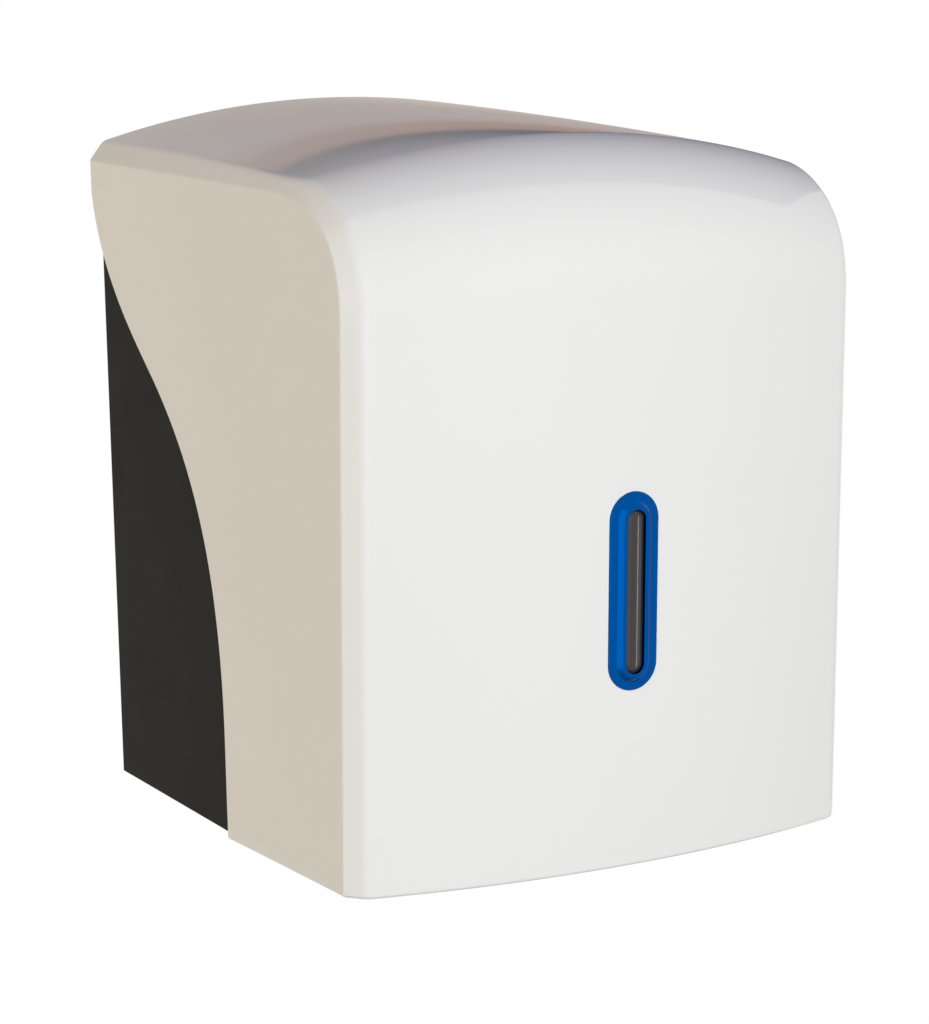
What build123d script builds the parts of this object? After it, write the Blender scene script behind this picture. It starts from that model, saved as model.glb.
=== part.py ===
from build123d import *
import math
import os

os.makedirs("parts", exist_ok=True)

# A wall-mounted dispenser for centre-pull paper towel rolls, in millimetres.
# X runs along the wall, -Y points out of the wall towards the user and +Z is up.
# The origin is the middle of the four wall screws, on the face of the wall.
# Heights named below are measured up from BASE, the cover's lower edge, and distances
# "out" are measured from the wall towards the user.

# ------------------------------------------------------------------ wall fixing
SCREW_SPAN_X = 160.0  # between the wall screws, along the wall
SCREW_SPAN_Z = 180.0  # between the wall screws, up the wall
SCREW_HOLE = 5.5
SCREWS_HEIGHT = 165.0  # height of the screw pattern's middle
BASE = -SCREWS_HEIGHT

# ------------------------------------------------------------------ outline of the cover
BODY_WIDTH = 250.0  # across the sides, at the wall
BODY_DEPTH = 249.0  # out to the middle of the front, at the base
BODY_HEIGHT = 311.5  # up to the middle of the top, at the wall
CROWN_RADIUS = 420.0  # the top, seen from the front
BOW_RADIUS = 430.0  # the front, seen from above
SIDE_TAPER = 1.5  # degrees that each side closes in towards the front
FRONT_LEAN = 2.5  # degrees that the front leans out towards its top
TOP_FALL = 3.2  # degrees that the top falls towards the front
ROLL_OVER_RADIUS = 57.0  # where the top turns over into the front
PANEL_RADIUS = 44.5  # the same corner, at the side panel
FACET_REACH = 28.0  # how far in from a side the facets are drawn
BEVEL = 4.8  # flat facet round each side panel
FACET_ANGLE = 50.0  # degrees from the side panel's own axis
LOWER_EDGE_RADIUS = 1.6
COVER_WALL = 2.5
COVER_GAP = 1.0  # between the wall and the cover

# The edge of each side panel sweeps from the wall down to the base in two curves.
SWEEP_TOP = 283.6  # height at the wall
SWEEP_TOP_PULL = 44.0
SWEEP_MIDDLE_OUT = 61.7
SWEEP_MIDDLE_HEIGHT = 191.1
SWEEP_MIDDLE_ANGLE = 48.0  # degrees from upright
SWEEP_MIDDLE_PULL_UP = 25.0
SWEEP_MIDDLE_PULL_DOWN = 53.5
SWEEP_FOOT_OUT = 121.5
SWEEP_FOOT_HEIGHT = 42.0
SWEEP_FOOT_PULL = 71.0

# ------------------------------------------------------------------ rear casing
CASING_INSET = 5.0  # from the cover's skin in to the casing's skin
CASING_WALL = 3.0
CASING_OVERLAP = 15.0  # how far the casing runs on under the cover's swept edge
CASING_FOOT_RISE = 4.3  # the lower edge climbs this much towards the wall
FLOOR_HEIGHT = 40.0
RIB_DEPTH = 4.0
RIB_WIDTH = 1.8
RIB_HEIGHTS = (120.0, 200.0)
RIB_SPAN = 100.0  # between the two upright ribs
SCREW_BOSS = 14.0
SCREW_BOSS_DEPTH = 2.0

# ------------------------------------------------------------------ roll tray and outlet
ROLL_DIAMETER = 195.0
ROLL_OUT = 112.0  # the roll's axis
TRAY_WALL = 2.5
TRAY_RIM_HEIGHT = 10.0
TRAY_RIB_COUNT = 8
TRAY_RIB_HEIGHT = 4.0
TRAY_RIB_WIDTH = 3.0
FLOOR_BORE = 94.0
THROAT_RADIUS = 31.0
THROAT_DROP = 16.0  # from the tray's seat down to the throat's lower face
THROAT_FLANGE = 4.0
THROAT_FLANGE_RADIUS = 44.0
NOZZLE_FLANGE_RADIUS = 36.0
NOZZLE_FLANGE = 2.5
NOZZLE_WALL = 2.5
NOZZLE_NECK_RADIUS = 32.4
NOZZLE_MOUTH_RADIUS = 14.0
NOZZLE_CONE_DROP = 22.0
NOZZLE_MOUTH_DROP = 9.0
NOZZLE_GRIP_COUNT = 12
NOZZLE_GRIP_WIDTH = 2.4
NOZZLE_PLAY = 0.3
RING_LIP_RADIUS = 33.0
RING_WALL_RADIUS = 36.6
RING_LIP = 2.5
TEETH_COUNT = 16
TEETH_HEIGHT = 3.2
TEETH_BAND = 4.0
TEETH_WALL = 0.9
TRAY_SCREW_RADIUS = 80.0
RING_SCREW_RADIUS = 40.4
TRAY_SCREW_COUNT = 4
TRAY_BOSS_RADIUS = 3.6
TRAY_BOSS_DROP = 5.0
TRAY_RIB_LENGTH = 42.0
RING_SCREW_COUNT = 3
RING_SCREW_SHANK = 1.1
RING_SCREW_BITE = 3.0
RING_SCREW_SPARE = 0.4  # how much deeper than the screw its hole is
RING_SCREW_HEAD = 2.2
RING_SCREW_HEAD_HEIGHT = 1.5
NOZZLE_GRIP_DEPTH = 2.0
CASING_SCREW_RADIUS = 1.6
CASING_SCREW_HEAD = 3.1
CASING_SCREW_HEAD_HEIGHT = 1.9
CASING_SCREW_END = 1.0  # how far a screw stops short of the end of its hole

# ------------------------------------------------------------------ hinge
HINGE_SET_BACK = 32.0  # from the cover's front, at the base, back to the pins' axis
LUG_REACH = 15.0  # from the casing's front wall out to the pins' axis
HINGE_HEIGHT = 12.0
PIN_RADIUS = 2.5
PIN_PLAY = 0.05
PIN_FIT = 0.02
LUG_INNER = 99.0  # from the middle of the dispenser to the casing lug's inner face
LUG_WIDTH = 8.0
LUG_RADIUS = 8.5
LUG_GAP = 0.5
COVER_BOSS_RADIUS = 7.5
PIN_HEAD_RADIUS = 4.0
PIN_HEAD = 1.5

# ------------------------------------------------------------------ sight window
WINDOW_HEIGHT = 114.7  # height of its middle
BEZEL_LENGTH = 81.4
BEZEL_WIDTH = 22.6
BEZEL_RIM = 0.8  # how far the outer ring stands proud
BEZEL_STEP = 1.8  # how much further the inner ring stands proud
BEZEL_RING = 3.5  # width of the flat outer ring
BEZEL_SEAT = 0.8  # depth of its seat in the cover
BEZEL_SKIRT = 1.4
BEZEL_SKIRT_DEPTH = 3.2
LENS_WIDTH = 8.4
LENS_PLAY = 0.1
LENS_SHORT = 0.5  # how far the lens stops below the inner ring's face
LENS_DOME = 1.6
LENS_FLANGE = 1.5
LENS_FLANGE_EDGE = 2.2
POST_RADIUS = 1.9
POST_INSET = 3.0  # from the bezel's end to the post's axis
RETAINER_WALL = 2.0
RETAINER_EDGE = 2.5
SPACER_RADIUS = 4.0
RETAINER_SCREW_RADIUS = 0.9
RETAINER_SCREW_BITE = 3.2
RETAINER_SCREW_HEAD = 2.0
RETAINER_SCREW_HEAD_HEIGHT = 1.4

# ------------------------------------------------------------------ lock
LOCK_OUT = 50.0  # the lock's axis, on the right-hand side panel
LOCK_DROP = 61.5  # from the top of the cover down to the lock's axis
LOCK_HEAD_RADIUS = 11.0
LOCK_HEAD = 2.0
LOCK_BODY_RADIUS = 8.0
LOCK_FLATS = 14.0
LOCK_BODY_LENGTH = 14.0
LOCK_SINK = 0.2  # how far its face stops below the cover's skin
LOCK_PLAY = 0.1
LOCK_BOSS_RADIUS = 15.0
LOCK_BOSS = 4.0
LOCK_NUT_ACROSS = 21.0
LOCK_NUT = 5.0
BARREL_RADIUS = 5.5
BARREL_PLAY = 0.05
BARREL_TANG = 7.0
KEY_SLOT_LENGTH = 7.0
KEY_SLOT_WIDTH = 1.6
KEY_SLOT_DEPTH = 9.0
CAM_WALL = 2.0
CAM_GAP = 1.0  # between the lock's body and the cam
CAM_WIDTH = 12.0
CAM_REACH = 27.0
CATCH_GAP = 0.5  # between the cam and the catch above it
CATCH_OUT = 34.0
CATCH_WIDTH = 14.0
CATCH_WALL = 2.0
CATCH_LEG = 34.0
CATCH_BOSS_RADIUS = 4.5
CATCH_BOSS_DEPTH = 4.0
CATCH_SCREW_DROP = 11.0  # from the catch's top to its upper screw
CATCH_SCREW_SPAN = 14.0
CAM_SCREW_RADIUS = 1.5
CAM_SCREW_LENGTH = 8.0
CAM_SCREW_HEAD = 3.6
CAM_SCREW_HEAD_HEIGHT = 2.2
BUFFER_RADIUS = 4.0
BUFFER_OUT = 8.0
BUFFER_ACROSS = 78.0
BUFFER_GAP = 0.3

OVERRUN = 40.0  # how far cutting forms run past what they cut


def slope(degrees):
    return math.tan(math.radians(degrees))


def skin_half_width(out):
    """Half the cover's width, at a distance out from the wall."""
    return BODY_WIDTH / 2 - out * slope(SIDE_TAPER)


def skin_top(out, across=0.0):
    """Z of the cover's top, at a distance out and a distance from the middle."""
    crown_drop = CROWN_RADIUS - math.sqrt(CROWN_RADIUS**2 - across**2)
    return BASE + BODY_HEIGHT - out * slope(TOP_FALL) - crown_drop


def panel_facets(inset):
    """A block with the two side panels as its ends and a sloping facet round each panel."""
    rise = slope(FACET_ANGLE)
    shrink = inset * (math.sqrt(1 + rise**2) - rise)
    corner_out = BODY_DEPTH - BOW_RADIUS + math.sqrt(BOW_RADIUS**2 - skin_half_width(BODY_DEPTH) ** 2)
    top = skin_top(0, BODY_WIDTH / 2) - BASE - BEVEL - shrink
    front = corner_out - BEVEL - shrink
    outwards = Vector(-math.sin(math.radians(SIDE_TAPER)), -math.cos(math.radians(SIDE_TAPER)), 0)
    inwards = Vector(outwards.Y, -outwards.X, 0)
    panel_plane = Plane(
        origin=Vector(BODY_WIDTH / 2, 0, BASE) + inwards * inset, x_dir=outwards, z_dir=inwards
    )
    corner_x = (front + top * slope(FRONT_LEAN)) / (1 + slope(TOP_FALL) * slope(FRONT_LEAN))
    corner = (corner_x, top - corner_x * slope(TOP_FALL))
    with BuildPart() as block:
        with BuildSketch(panel_plane):
            with BuildLine():
                outline = Polyline(
                    (-OVERRUN, top + OVERRUN * slope(TOP_FALL)),
                    corner,
                    (front - OVERRUN * slope(FRONT_LEAN), -OVERRUN),
                    (-OVERRUN, -OVERRUN),
                    close=True,
                )
            make_face()
            rounded = outline.vertices().sort_by_distance(corner)[0]
            fillet(rounded, radius=PANEL_RADIUS - shrink)
        extrude(amount=FACET_REACH, taper=-FACET_ANGLE)
        mirror(about=Plane.YZ)
        Box(BODY_WIDTH - 2 * FACET_REACH, 4 * BODY_DEPTH, 4 * BODY_HEIGHT)
    return block.part


def body_form(inset):
    """The dispenser's closed outline, every face `inset` inside the cover's skin.

    It runs on behind the wall and below the base, and its caller trims it.
    """
    length = BODY_DEPTH + BODY_HEIGHT
    plan_plane = Plane(origin=(0, OVERRUN * slope(FRONT_LEAN), BASE - OVERRUN))
    crown_middle = BASE + BODY_HEIGHT - CROWN_RADIUS + OVERRUN * slope(TOP_FALL)
    crown_plane = Plane(origin=(0, OVERRUN, crown_middle), x_dir=(1, 0, 0), z_dir=(0, -1, 0))
    facets = panel_facets(inset)
    with BuildPart() as form:
        with BuildSketch(plan_plane):
            Rectangle(BODY_WIDTH + OVERRUN, 2 * length)
            with Locations((0, BOW_RADIUS - BODY_DEPTH)):
                Circle(BOW_RADIUS - inset, mode=Mode.INTERSECT)
        extrude(amount=length, dir=(0, -slope(FRONT_LEAN), 1))
        with BuildSketch(crown_plane):
            Circle(CROWN_RADIUS - inset)
        extrude(amount=length, dir=(0, -1, -slope(TOP_FALL)), mode=Mode.INTERSECT)
        turn_over = form.edges().sort_by(lambda edge: edge.center().Y - edge.center().Z)[0]
        fillet(turn_over, radius=ROLL_OVER_RADIUS - inset)
        add(facets, mode=Mode.INTERSECT)
    return form.part


def clipped(form, near, far, low, high):
    """The part of a form between two distances out and between two heights."""
    with BuildPart() as clip:
        add(form)
        with Locations((0, -(near + far) / 2, BASE + (low + high) / 2)):
            Box(2 * BODY_WIDTH, far - near, high - low, mode=Mode.INTERSECT)
    return clip.part


def swept_edge(shift):
    """Corner points of the side panel's two curves, moved out by `shift`."""
    lean_y = -math.sin(math.radians(SWEEP_MIDDLE_ANGLE))
    lean_z = -math.cos(math.radians(SWEEP_MIDDLE_ANGLE))
    top = Vector(-shift, BASE + SWEEP_TOP)
    middle = Vector(-shift - SWEEP_MIDDLE_OUT, BASE + SWEEP_MIDDLE_HEIGHT)
    foot = Vector(-shift - SWEEP_FOOT_OUT, BASE + SWEEP_FOOT_HEIGHT)
    along = Vector(lean_y, lean_z)
    upper = (top, top - Vector(0, SWEEP_TOP_PULL), middle - along * SWEEP_MIDDLE_PULL_UP, middle)
    lower = (middle, middle + along * SWEEP_MIDDLE_PULL_DOWN, foot + Vector(0, SWEEP_FOOT_PULL), foot)
    return upper, lower


def window_plane(proud):
    """Plane on the cover's front at the middle of the window, moved out of it by `proud`."""
    lean = math.radians(FRONT_LEAN)
    facing = Vector(0, -math.cos(lean), -math.sin(lean))
    middle = Vector(0, -BODY_DEPTH - WINDOW_HEIGHT * slope(FRONT_LEAN), BASE + WINDOW_HEIGHT)
    return Plane(origin=middle + facing * proud, x_dir=(1, 0, 0), z_dir=facing)


def roll_plane(z):
    """Level plane centred on the roll's axis."""
    return Plane(origin=(0, -ROLL_OUT, z))


def lock_plane(proud):
    """Plane on the lock's axis, facing out of the right-hand side panel, moved out by `proud`.

    Its own x runs down and its own y runs towards the wall.
    """
    taper = math.radians(SIDE_TAPER)
    facing = Vector(math.cos(taper), -math.sin(taper), 0)
    middle = Vector(skin_half_width(LOCK_OUT), -LOCK_OUT, lock_z)
    return Plane(origin=middle + facing * proud, x_dir=(0, 0, -1), z_dir=facing)


def pan_screw(head_radius, head_height, shank_radius, shank_length):
    """A cross-head screw along Z, with its head above z = 0."""
    with BuildPart() as screw:
        with BuildSketch(Plane.XY):
            Circle(head_radius)
        extrude(amount=head_height)
        chamfer(screw.edges().sort_by(Axis.Z)[-1], length=head_height * 0.5)
        with BuildSketch(Plane.XY.offset(head_height)):
            Rectangle(head_radius * 1.1, head_radius * 0.3)
            Rectangle(head_radius * 0.3, head_radius * 1.1)
        extrude(amount=-head_height * 0.6, mode=Mode.SUBTRACT)
        with BuildSketch(Plane.XY):
            Circle(shank_radius)
        extrude(amount=-shank_length)
    return screw.part


# Forms that several pieces share
cover_skin = body_form(0)
cover_hollow = body_form(COVER_WALL)
cover_mid_wall = body_form(COVER_WALL / 2)
casing_skin = body_form(CASING_INSET)
casing_hollow = body_form(CASING_INSET + CASING_WALL)

# Places that several pieces share
floor_z = BASE + FLOOR_HEIGHT
throat_z = floor_z - THROAT_DROP
nozzle_flange_z = throat_z - NOZZLE_PLAY
ring_lip_z = nozzle_flange_z - NOZZLE_FLANGE - NOZZLE_PLAY
cone_top_z = ring_lip_z - RING_LIP
cone_foot_z = cone_top_z - NOZZLE_CONE_DROP
mouth_z = cone_foot_z - NOZZLE_MOUTH_DROP
tray_radius = ROLL_DIAMETER / 2
roll_axis = Axis((0, -ROLL_OUT, 0), (0, 0, 1))
roll_section = Plane.XZ.offset(ROLL_OUT)
hinge_z = BASE + HINGE_HEIGHT
hinge_out = BODY_DEPTH - HINGE_SET_BACK
floor_out = hinge_out - LUG_REACH
lock_z = BASE + BODY_HEIGHT - LOCK_DROP
lug_outer = LUG_INNER + LUG_WIDTH
pin_end = skin_half_width(hinge_out) - COVER_WALL - LUG_GAP
post_offset = BEZEL_LENGTH / 2 - POST_INSET
lens_back = -BEZEL_SKIRT_DEPTH - LENS_FLANGE
lock_seat = -LOCK_SINK - LOCK_HEAD
lock_boss = lock_seat - LOCK_BOSS
cam_seat = lock_seat - LOCK_BODY_LENGTH - CAM_GAP
catch_x = lock_plane(cam_seat - CAM_WALL / 2).origin.X
catch_z = lock_z + CAM_WIDTH / 2 + CATCH_GAP
catch_leg_y = -CASING_WALL - CATCH_BOSS_DEPTH
upper_catch_screw = (catch_x, catch_z + CATCH_WALL - CATCH_SCREW_DROP)
lower_catch_screw = (catch_x, catch_z + CATCH_WALL - CATCH_SCREW_DROP - CATCH_SCREW_SPAN)


# ------------------------------------------------------------------ front cover
with BuildPart() as cover_bosses:
    for side in (-1, 1):
        with BuildSketch(Plane.YZ.offset(side * (lug_outer + LUG_GAP))):
            with Locations((-hinge_out, hinge_z)):
                Circle(COVER_BOSS_RADIUS)
        extrude(amount=side * OVERRUN)
    with BuildSketch(lock_plane(lock_boss)):
        Circle(LOCK_BOSS_RADIUS)
    extrude(amount=OVERRUN)
    with BuildSketch(window_plane(lens_back)):
        with Locations((0, post_offset), (0, -post_offset)):
            Circle(SPACER_RADIUS)
    extrude(amount=OVERRUN)
    add(cover_mid_wall, mode=Mode.INTERSECT)

with BuildPart() as front_cover:
    add(clipped(cover_skin, COVER_GAP, BODY_DEPTH + OVERRUN, 0, BODY_HEIGHT + OVERRUN))
    lower_rim = front_cover.edges().group_by(Axis.Z)[0]
    lower_rim = lower_rim.filter_by(lambda edge: edge.center().Y < -COVER_GAP - LOWER_EDGE_RADIUS)
    fillet(lower_rim, radius=LOWER_EDGE_RADIUS)
    add(cover_hollow, mode=Mode.SUBTRACT)

    # the side panels stop at the swept edge
    upper_sweep, lower_sweep = swept_edge(0)
    with BuildSketch(Plane.YZ):
        with BuildLine():
            Bezier(*upper_sweep)
            Bezier(*lower_sweep)
            Polyline(
                lower_sweep[-1],
                (lower_sweep[-1].X, BASE - OVERRUN),
                (OVERRUN, BASE - OVERRUN),
                (OVERRUN, upper_sweep[0].Y),
                upper_sweep[0],
            )
        make_face()
    extrude(amount=BODY_WIDTH, both=True, mode=Mode.SUBTRACT)
    add(cover_bosses.part)

    # blind holes that turn on the hinge pins
    for side in (-1, 1):
        with BuildSketch(Plane.YZ.offset(side * lug_outer)):
            with Locations((-hinge_out, hinge_z)):
                Circle(PIN_RADIUS + PIN_PLAY)
        extrude(amount=side * (pin_end + LUG_GAP - lug_outer), mode=Mode.SUBTRACT)

    # pocket and flatted hole for the lock
    with BuildSketch(lock_plane(lock_seat)):
        Circle(LOCK_HEAD_RADIUS + LOCK_PLAY)
    extrude(amount=OVERRUN, mode=Mode.SUBTRACT)
    with BuildSketch(lock_plane(lock_boss - OVERRUN / 2)):
        Circle(LOCK_BODY_RADIUS + LOCK_PLAY)
        Rectangle(3 * LOCK_BODY_RADIUS, LOCK_FLATS + 2 * LOCK_PLAY, mode=Mode.INTERSECT)
    extrude(amount=OVERRUN, mode=Mode.SUBTRACT)

    # seat, opening and post holes for the sight window
    with BuildSketch(window_plane(-BEZEL_SEAT)):
        SlotOverall(BEZEL_LENGTH + 2 * LENS_PLAY, BEZEL_WIDTH + 2 * LENS_PLAY, rotation=90)
    extrude(amount=OVERRUN, mode=Mode.SUBTRACT)
    with BuildSketch(window_plane(-BEZEL_SEAT)):
        skirt_margin = BEZEL_SKIRT + LENS_PLAY
        lens_length = BEZEL_LENGTH - BEZEL_WIDTH + LENS_WIDTH
        SlotOverall(lens_length + 2 * skirt_margin, LENS_WIDTH + 2 * skirt_margin, rotation=90)
        with Locations((0, post_offset), (0, -post_offset)):
            Circle(POST_RADIUS + LENS_PLAY)
    extrude(amount=-OVERRUN / 4, mode=Mode.SUBTRACT)
front_cover.part.label = "front_cover"
export_step(front_cover.part, "parts/front_cover.step")


# ------------------------------------------------------------------ sight window
with BuildPart() as window_bezel:
    with BuildSketch(window_plane(-BEZEL_SEAT)):
        SlotOverall(BEZEL_LENGTH, BEZEL_WIDTH, rotation=90)
    extrude(amount=BEZEL_SEAT + BEZEL_RIM)
    outer_rim = window_bezel.faces().sort_by(Axis.Y)[0].edges()
    chamfer(outer_rim, length=BEZEL_RIM * 0.6)
    with BuildSketch(window_plane(BEZEL_RIM)):
        SlotOverall(BEZEL_LENGTH - 2 * BEZEL_RING, BEZEL_WIDTH - 2 * BEZEL_RING, rotation=90)
    extrude(amount=BEZEL_STEP, taper=45)
    with BuildSketch(window_plane(-BEZEL_SEAT)):
        SlotOverall(lens_length + 2 * BEZEL_SKIRT, LENS_WIDTH + 2 * BEZEL_SKIRT, rotation=90)
        with Locations((0, post_offset), (0, -post_offset)):
            Circle(POST_RADIUS)
    extrude(amount=BEZEL_SEAT - BEZEL_SKIRT_DEPTH)
    with BuildSketch(window_plane(-BEZEL_SEAT)):
        with Locations((0, post_offset), (0, -post_offset)):
            Circle(POST_RADIUS)
    extrude(amount=lens_back + BEZEL_SEAT)
    with BuildSketch(window_plane(lens_back)):
        SlotOverall(lens_length, LENS_WIDTH, rotation=90)
    extrude(amount=OVERRUN, mode=Mode.SUBTRACT)
    with BuildSketch(window_plane(lens_back)):
        with Locations((0, post_offset), (0, -post_offset)):
            Circle(RETAINER_SCREW_RADIUS + PIN_FIT)
    extrude(amount=RETAINER_SCREW_BITE + LENS_PLAY, mode=Mode.SUBTRACT)
window_bezel.part.label = "window_bezel"
export_step(window_bezel.part, "parts/window_bezel.step")

with BuildPart() as window_lens:
    with BuildSketch(window_plane(-BEZEL_SKIRT_DEPTH)):
        SlotOverall(lens_length - 2 * LENS_PLAY, LENS_WIDTH - 2 * LENS_PLAY, rotation=90)
    extrude(amount=BEZEL_SKIRT_DEPTH + BEZEL_RIM + BEZEL_STEP - LENS_SHORT)
    fillet(window_lens.faces().sort_by(Axis.Y)[0].edges(), radius=LENS_DOME)
    with BuildSketch(window_plane(-BEZEL_SKIRT_DEPTH)):
        SlotOverall(lens_length + 2 * LENS_FLANGE_EDGE, LENS_WIDTH + 2 * LENS_FLANGE_EDGE, rotation=90)
        with Locations((0, post_offset), (0, -post_offset)):
            Circle(SPACER_RADIUS + LENS_PLAY, mode=Mode.SUBTRACT)
    extrude(amount=-LENS_FLANGE)
window_lens.part.label = "window_lens"
export_step(window_lens.part, "parts/window_lens.step")

with BuildPart() as lens_retainer:
    with BuildSketch(window_plane(lens_back)):
        SlotOverall(BEZEL_LENGTH + RETAINER_EDGE, BEZEL_WIDTH - RETAINER_EDGE, rotation=90)
        SlotOverall(lens_length, LENS_WIDTH, rotation=90, mode=Mode.SUBTRACT)
        with Locations((0, post_offset), (0, -post_offset)):
            Circle(RETAINER_SCREW_RADIUS + LENS_PLAY, mode=Mode.SUBTRACT)
    extrude(amount=-RETAINER_WALL)
    chamfer(lens_retainer.faces().sort_by(Axis.Y)[-1].edges(), length=RETAINER_WALL / 4)
lens_retainer.part.label = "lens_retainer"
export_step(lens_retainer.part, "parts/lens_retainer.step")

retainer_shank = RETAINER_WALL + RETAINER_SCREW_BITE
retainer_screw = pan_screw(
    RETAINER_SCREW_HEAD, RETAINER_SCREW_HEAD_HEIGHT, RETAINER_SCREW_RADIUS, retainer_shank
)
retainer_back = window_plane(lens_back - RETAINER_WALL)
with BuildPart() as retainer_screws:
    for offset_up in (post_offset, -post_offset):
        seat = Plane(retainer_back.from_local_coords((0, offset_up, 0)), (1, 0, 0), -retainer_back.z_dir)
        with Locations(seat):
            add(retainer_screw)
retainer_screws.part.label = "retainer_screws"
export_step(retainer_screws.part, "parts/retainer_screws.step")


# ------------------------------------------------------------------ rear casing
with BuildPart() as casing_ribs:
    for rib_height in RIB_HEIGHTS:
        with Locations((0, 0, BASE + rib_height)):
            Box(BODY_WIDTH, CASING_WALL + RIB_DEPTH, RIB_WIDTH, align=(Align.CENTER, Align.MAX, Align.CENTER))
    for side in (-1, 1):
        with Locations((side * RIB_SPAN / 2, 0, floor_z)):
            Box(RIB_WIDTH, CASING_WALL + RIB_DEPTH, BODY_HEIGHT, align=(Align.CENTER, Align.MAX, Align.MIN))
    add(casing_skin, mode=Mode.INTERSECT)

with BuildPart() as rear_casing:
    add(clipped(casing_skin, 0, floor_out, 0, BODY_HEIGHT))
    upper_sweep, lower_sweep = swept_edge(CASING_OVERLAP)
    with BuildSketch(Plane.YZ):
        with BuildLine():
            Bezier(*upper_sweep)
            Bezier(*lower_sweep)
            Polyline(
                lower_sweep[-1],
                (lower_sweep[-1].X, floor_z),
                (-floor_out, floor_z),
                (-floor_out, BASE),
                (-SWEEP_FOOT_OUT, BASE),
                (0, BASE + CASING_FOOT_RISE),
                (0, BASE + BODY_HEIGHT),
                (-CASING_OVERLAP, BASE + BODY_HEIGHT),
                upper_sweep[0],
            )
        make_face()
    extrude(amount=BODY_WIDTH, both=True, mode=Mode.INTERSECT)
    chamber = clipped(casing_hollow, CASING_WALL, BODY_DEPTH, FLOOR_HEIGHT, 2 * BODY_HEIGHT)
    under_floor = FLOOR_HEIGHT - CASING_WALL
    foot_space = clipped(casing_hollow, CASING_WALL, floor_out - CASING_WALL, -OVERRUN / 2, under_floor)
    add(chamber, mode=Mode.SUBTRACT)
    add(foot_space, mode=Mode.SUBTRACT)
    add(casing_ribs.part)

    # bosses for the wall screws and for the catch, on the back plate
    with BuildSketch(Plane.XZ):
        with GridLocations(SCREW_SPAN_X, SCREW_SPAN_Z, 2, 2):
            Circle(SCREW_BOSS / 2)
    extrude(amount=CASING_WALL + SCREW_BOSS_DEPTH)
    with BuildSketch(Plane.XZ):
        with Locations(upper_catch_screw, lower_catch_screw):
            Circle(CATCH_BOSS_RADIUS)
    extrude(amount=-catch_leg_y)

    # bosses for the tray screws, under the floor
    with BuildSketch(roll_plane(floor_z)):
        with PolarLocations(TRAY_SCREW_RADIUS, TRAY_SCREW_COUNT, start_angle=45):
            Circle(TRAY_BOSS_RADIUS)
    extrude(amount=-CASING_WALL - TRAY_BOSS_DROP)

    # lugs that carry the hinge pins
    for side in (-1, 1):
        with BuildSketch(Plane.YZ.offset(side * LUG_INNER)):
            with Locations((-hinge_out, hinge_z)):
                Circle(LUG_RADIUS)
                Rectangle(
                    LUG_REACH + CASING_WALL / 2, 2 * LUG_RADIUS, align=(Align.MIN, Align.CENTER)
                )
        extrude(amount=side * LUG_WIDTH)

    # holes: wall screws, catch screws, tray screws, nozzle and hinge pins
    with BuildSketch(Plane.XZ.offset(-OVERRUN)):
        with GridLocations(SCREW_SPAN_X, SCREW_SPAN_Z, 2, 2):
            Circle(SCREW_HOLE / 2)
    extrude(amount=2 * OVERRUN, mode=Mode.SUBTRACT)
    with BuildSketch(Plane.XZ.offset(CASING_SCREW_END)):
        with Locations(upper_catch_screw, lower_catch_screw):
            Circle(CASING_SCREW_RADIUS + PIN_FIT)
    extrude(amount=-catch_leg_y, mode=Mode.SUBTRACT)
    with BuildSketch(roll_plane(floor_z)):
        Circle(FLOOR_BORE / 2)
        with PolarLocations(TRAY_SCREW_RADIUS, TRAY_SCREW_COUNT, start_angle=45):
            Circle(CASING_SCREW_RADIUS + PIN_FIT)
    extrude(amount=-CASING_WALL - TRAY_BOSS_DROP, mode=Mode.SUBTRACT)
    for side in (-1, 1):
        with BuildSketch(Plane.YZ.offset(side * (LUG_INNER - 1))):
            with Locations((-hinge_out, hinge_z)):
                Circle(PIN_RADIUS + PIN_FIT)
        extrude(amount=side * (LUG_WIDTH + 2), mode=Mode.SUBTRACT)
rear_casing.part.label = "rear_casing"
export_step(rear_casing.part, "parts/rear_casing.step")


# ------------------------------------------------------------------ hinge pins
for name, side in (("hinge_pin_left", -1), ("hinge_pin_right", 1)):
    with BuildPart() as hinge_pin:
        with BuildSketch(Plane.YZ.offset(side * LUG_INNER)):
            with Locations((-hinge_out, hinge_z)):
                Circle(PIN_RADIUS)
        extrude(amount=side * (pin_end - LUG_INNER))
        chamfer(hinge_pin.edges().sort_by(Axis.X)[-1 if side > 0 else 0], length=PIN_RADIUS / 4)
        with BuildSketch(Plane.YZ.offset(side * LUG_INNER)):
            with Locations((-hinge_out, hinge_z)):
                Circle(PIN_HEAD_RADIUS)
        extrude(amount=-side * PIN_HEAD)
    hinge_pin.part.label = name
    export_step(hinge_pin.part, f"parts/{name}.step")


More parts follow.
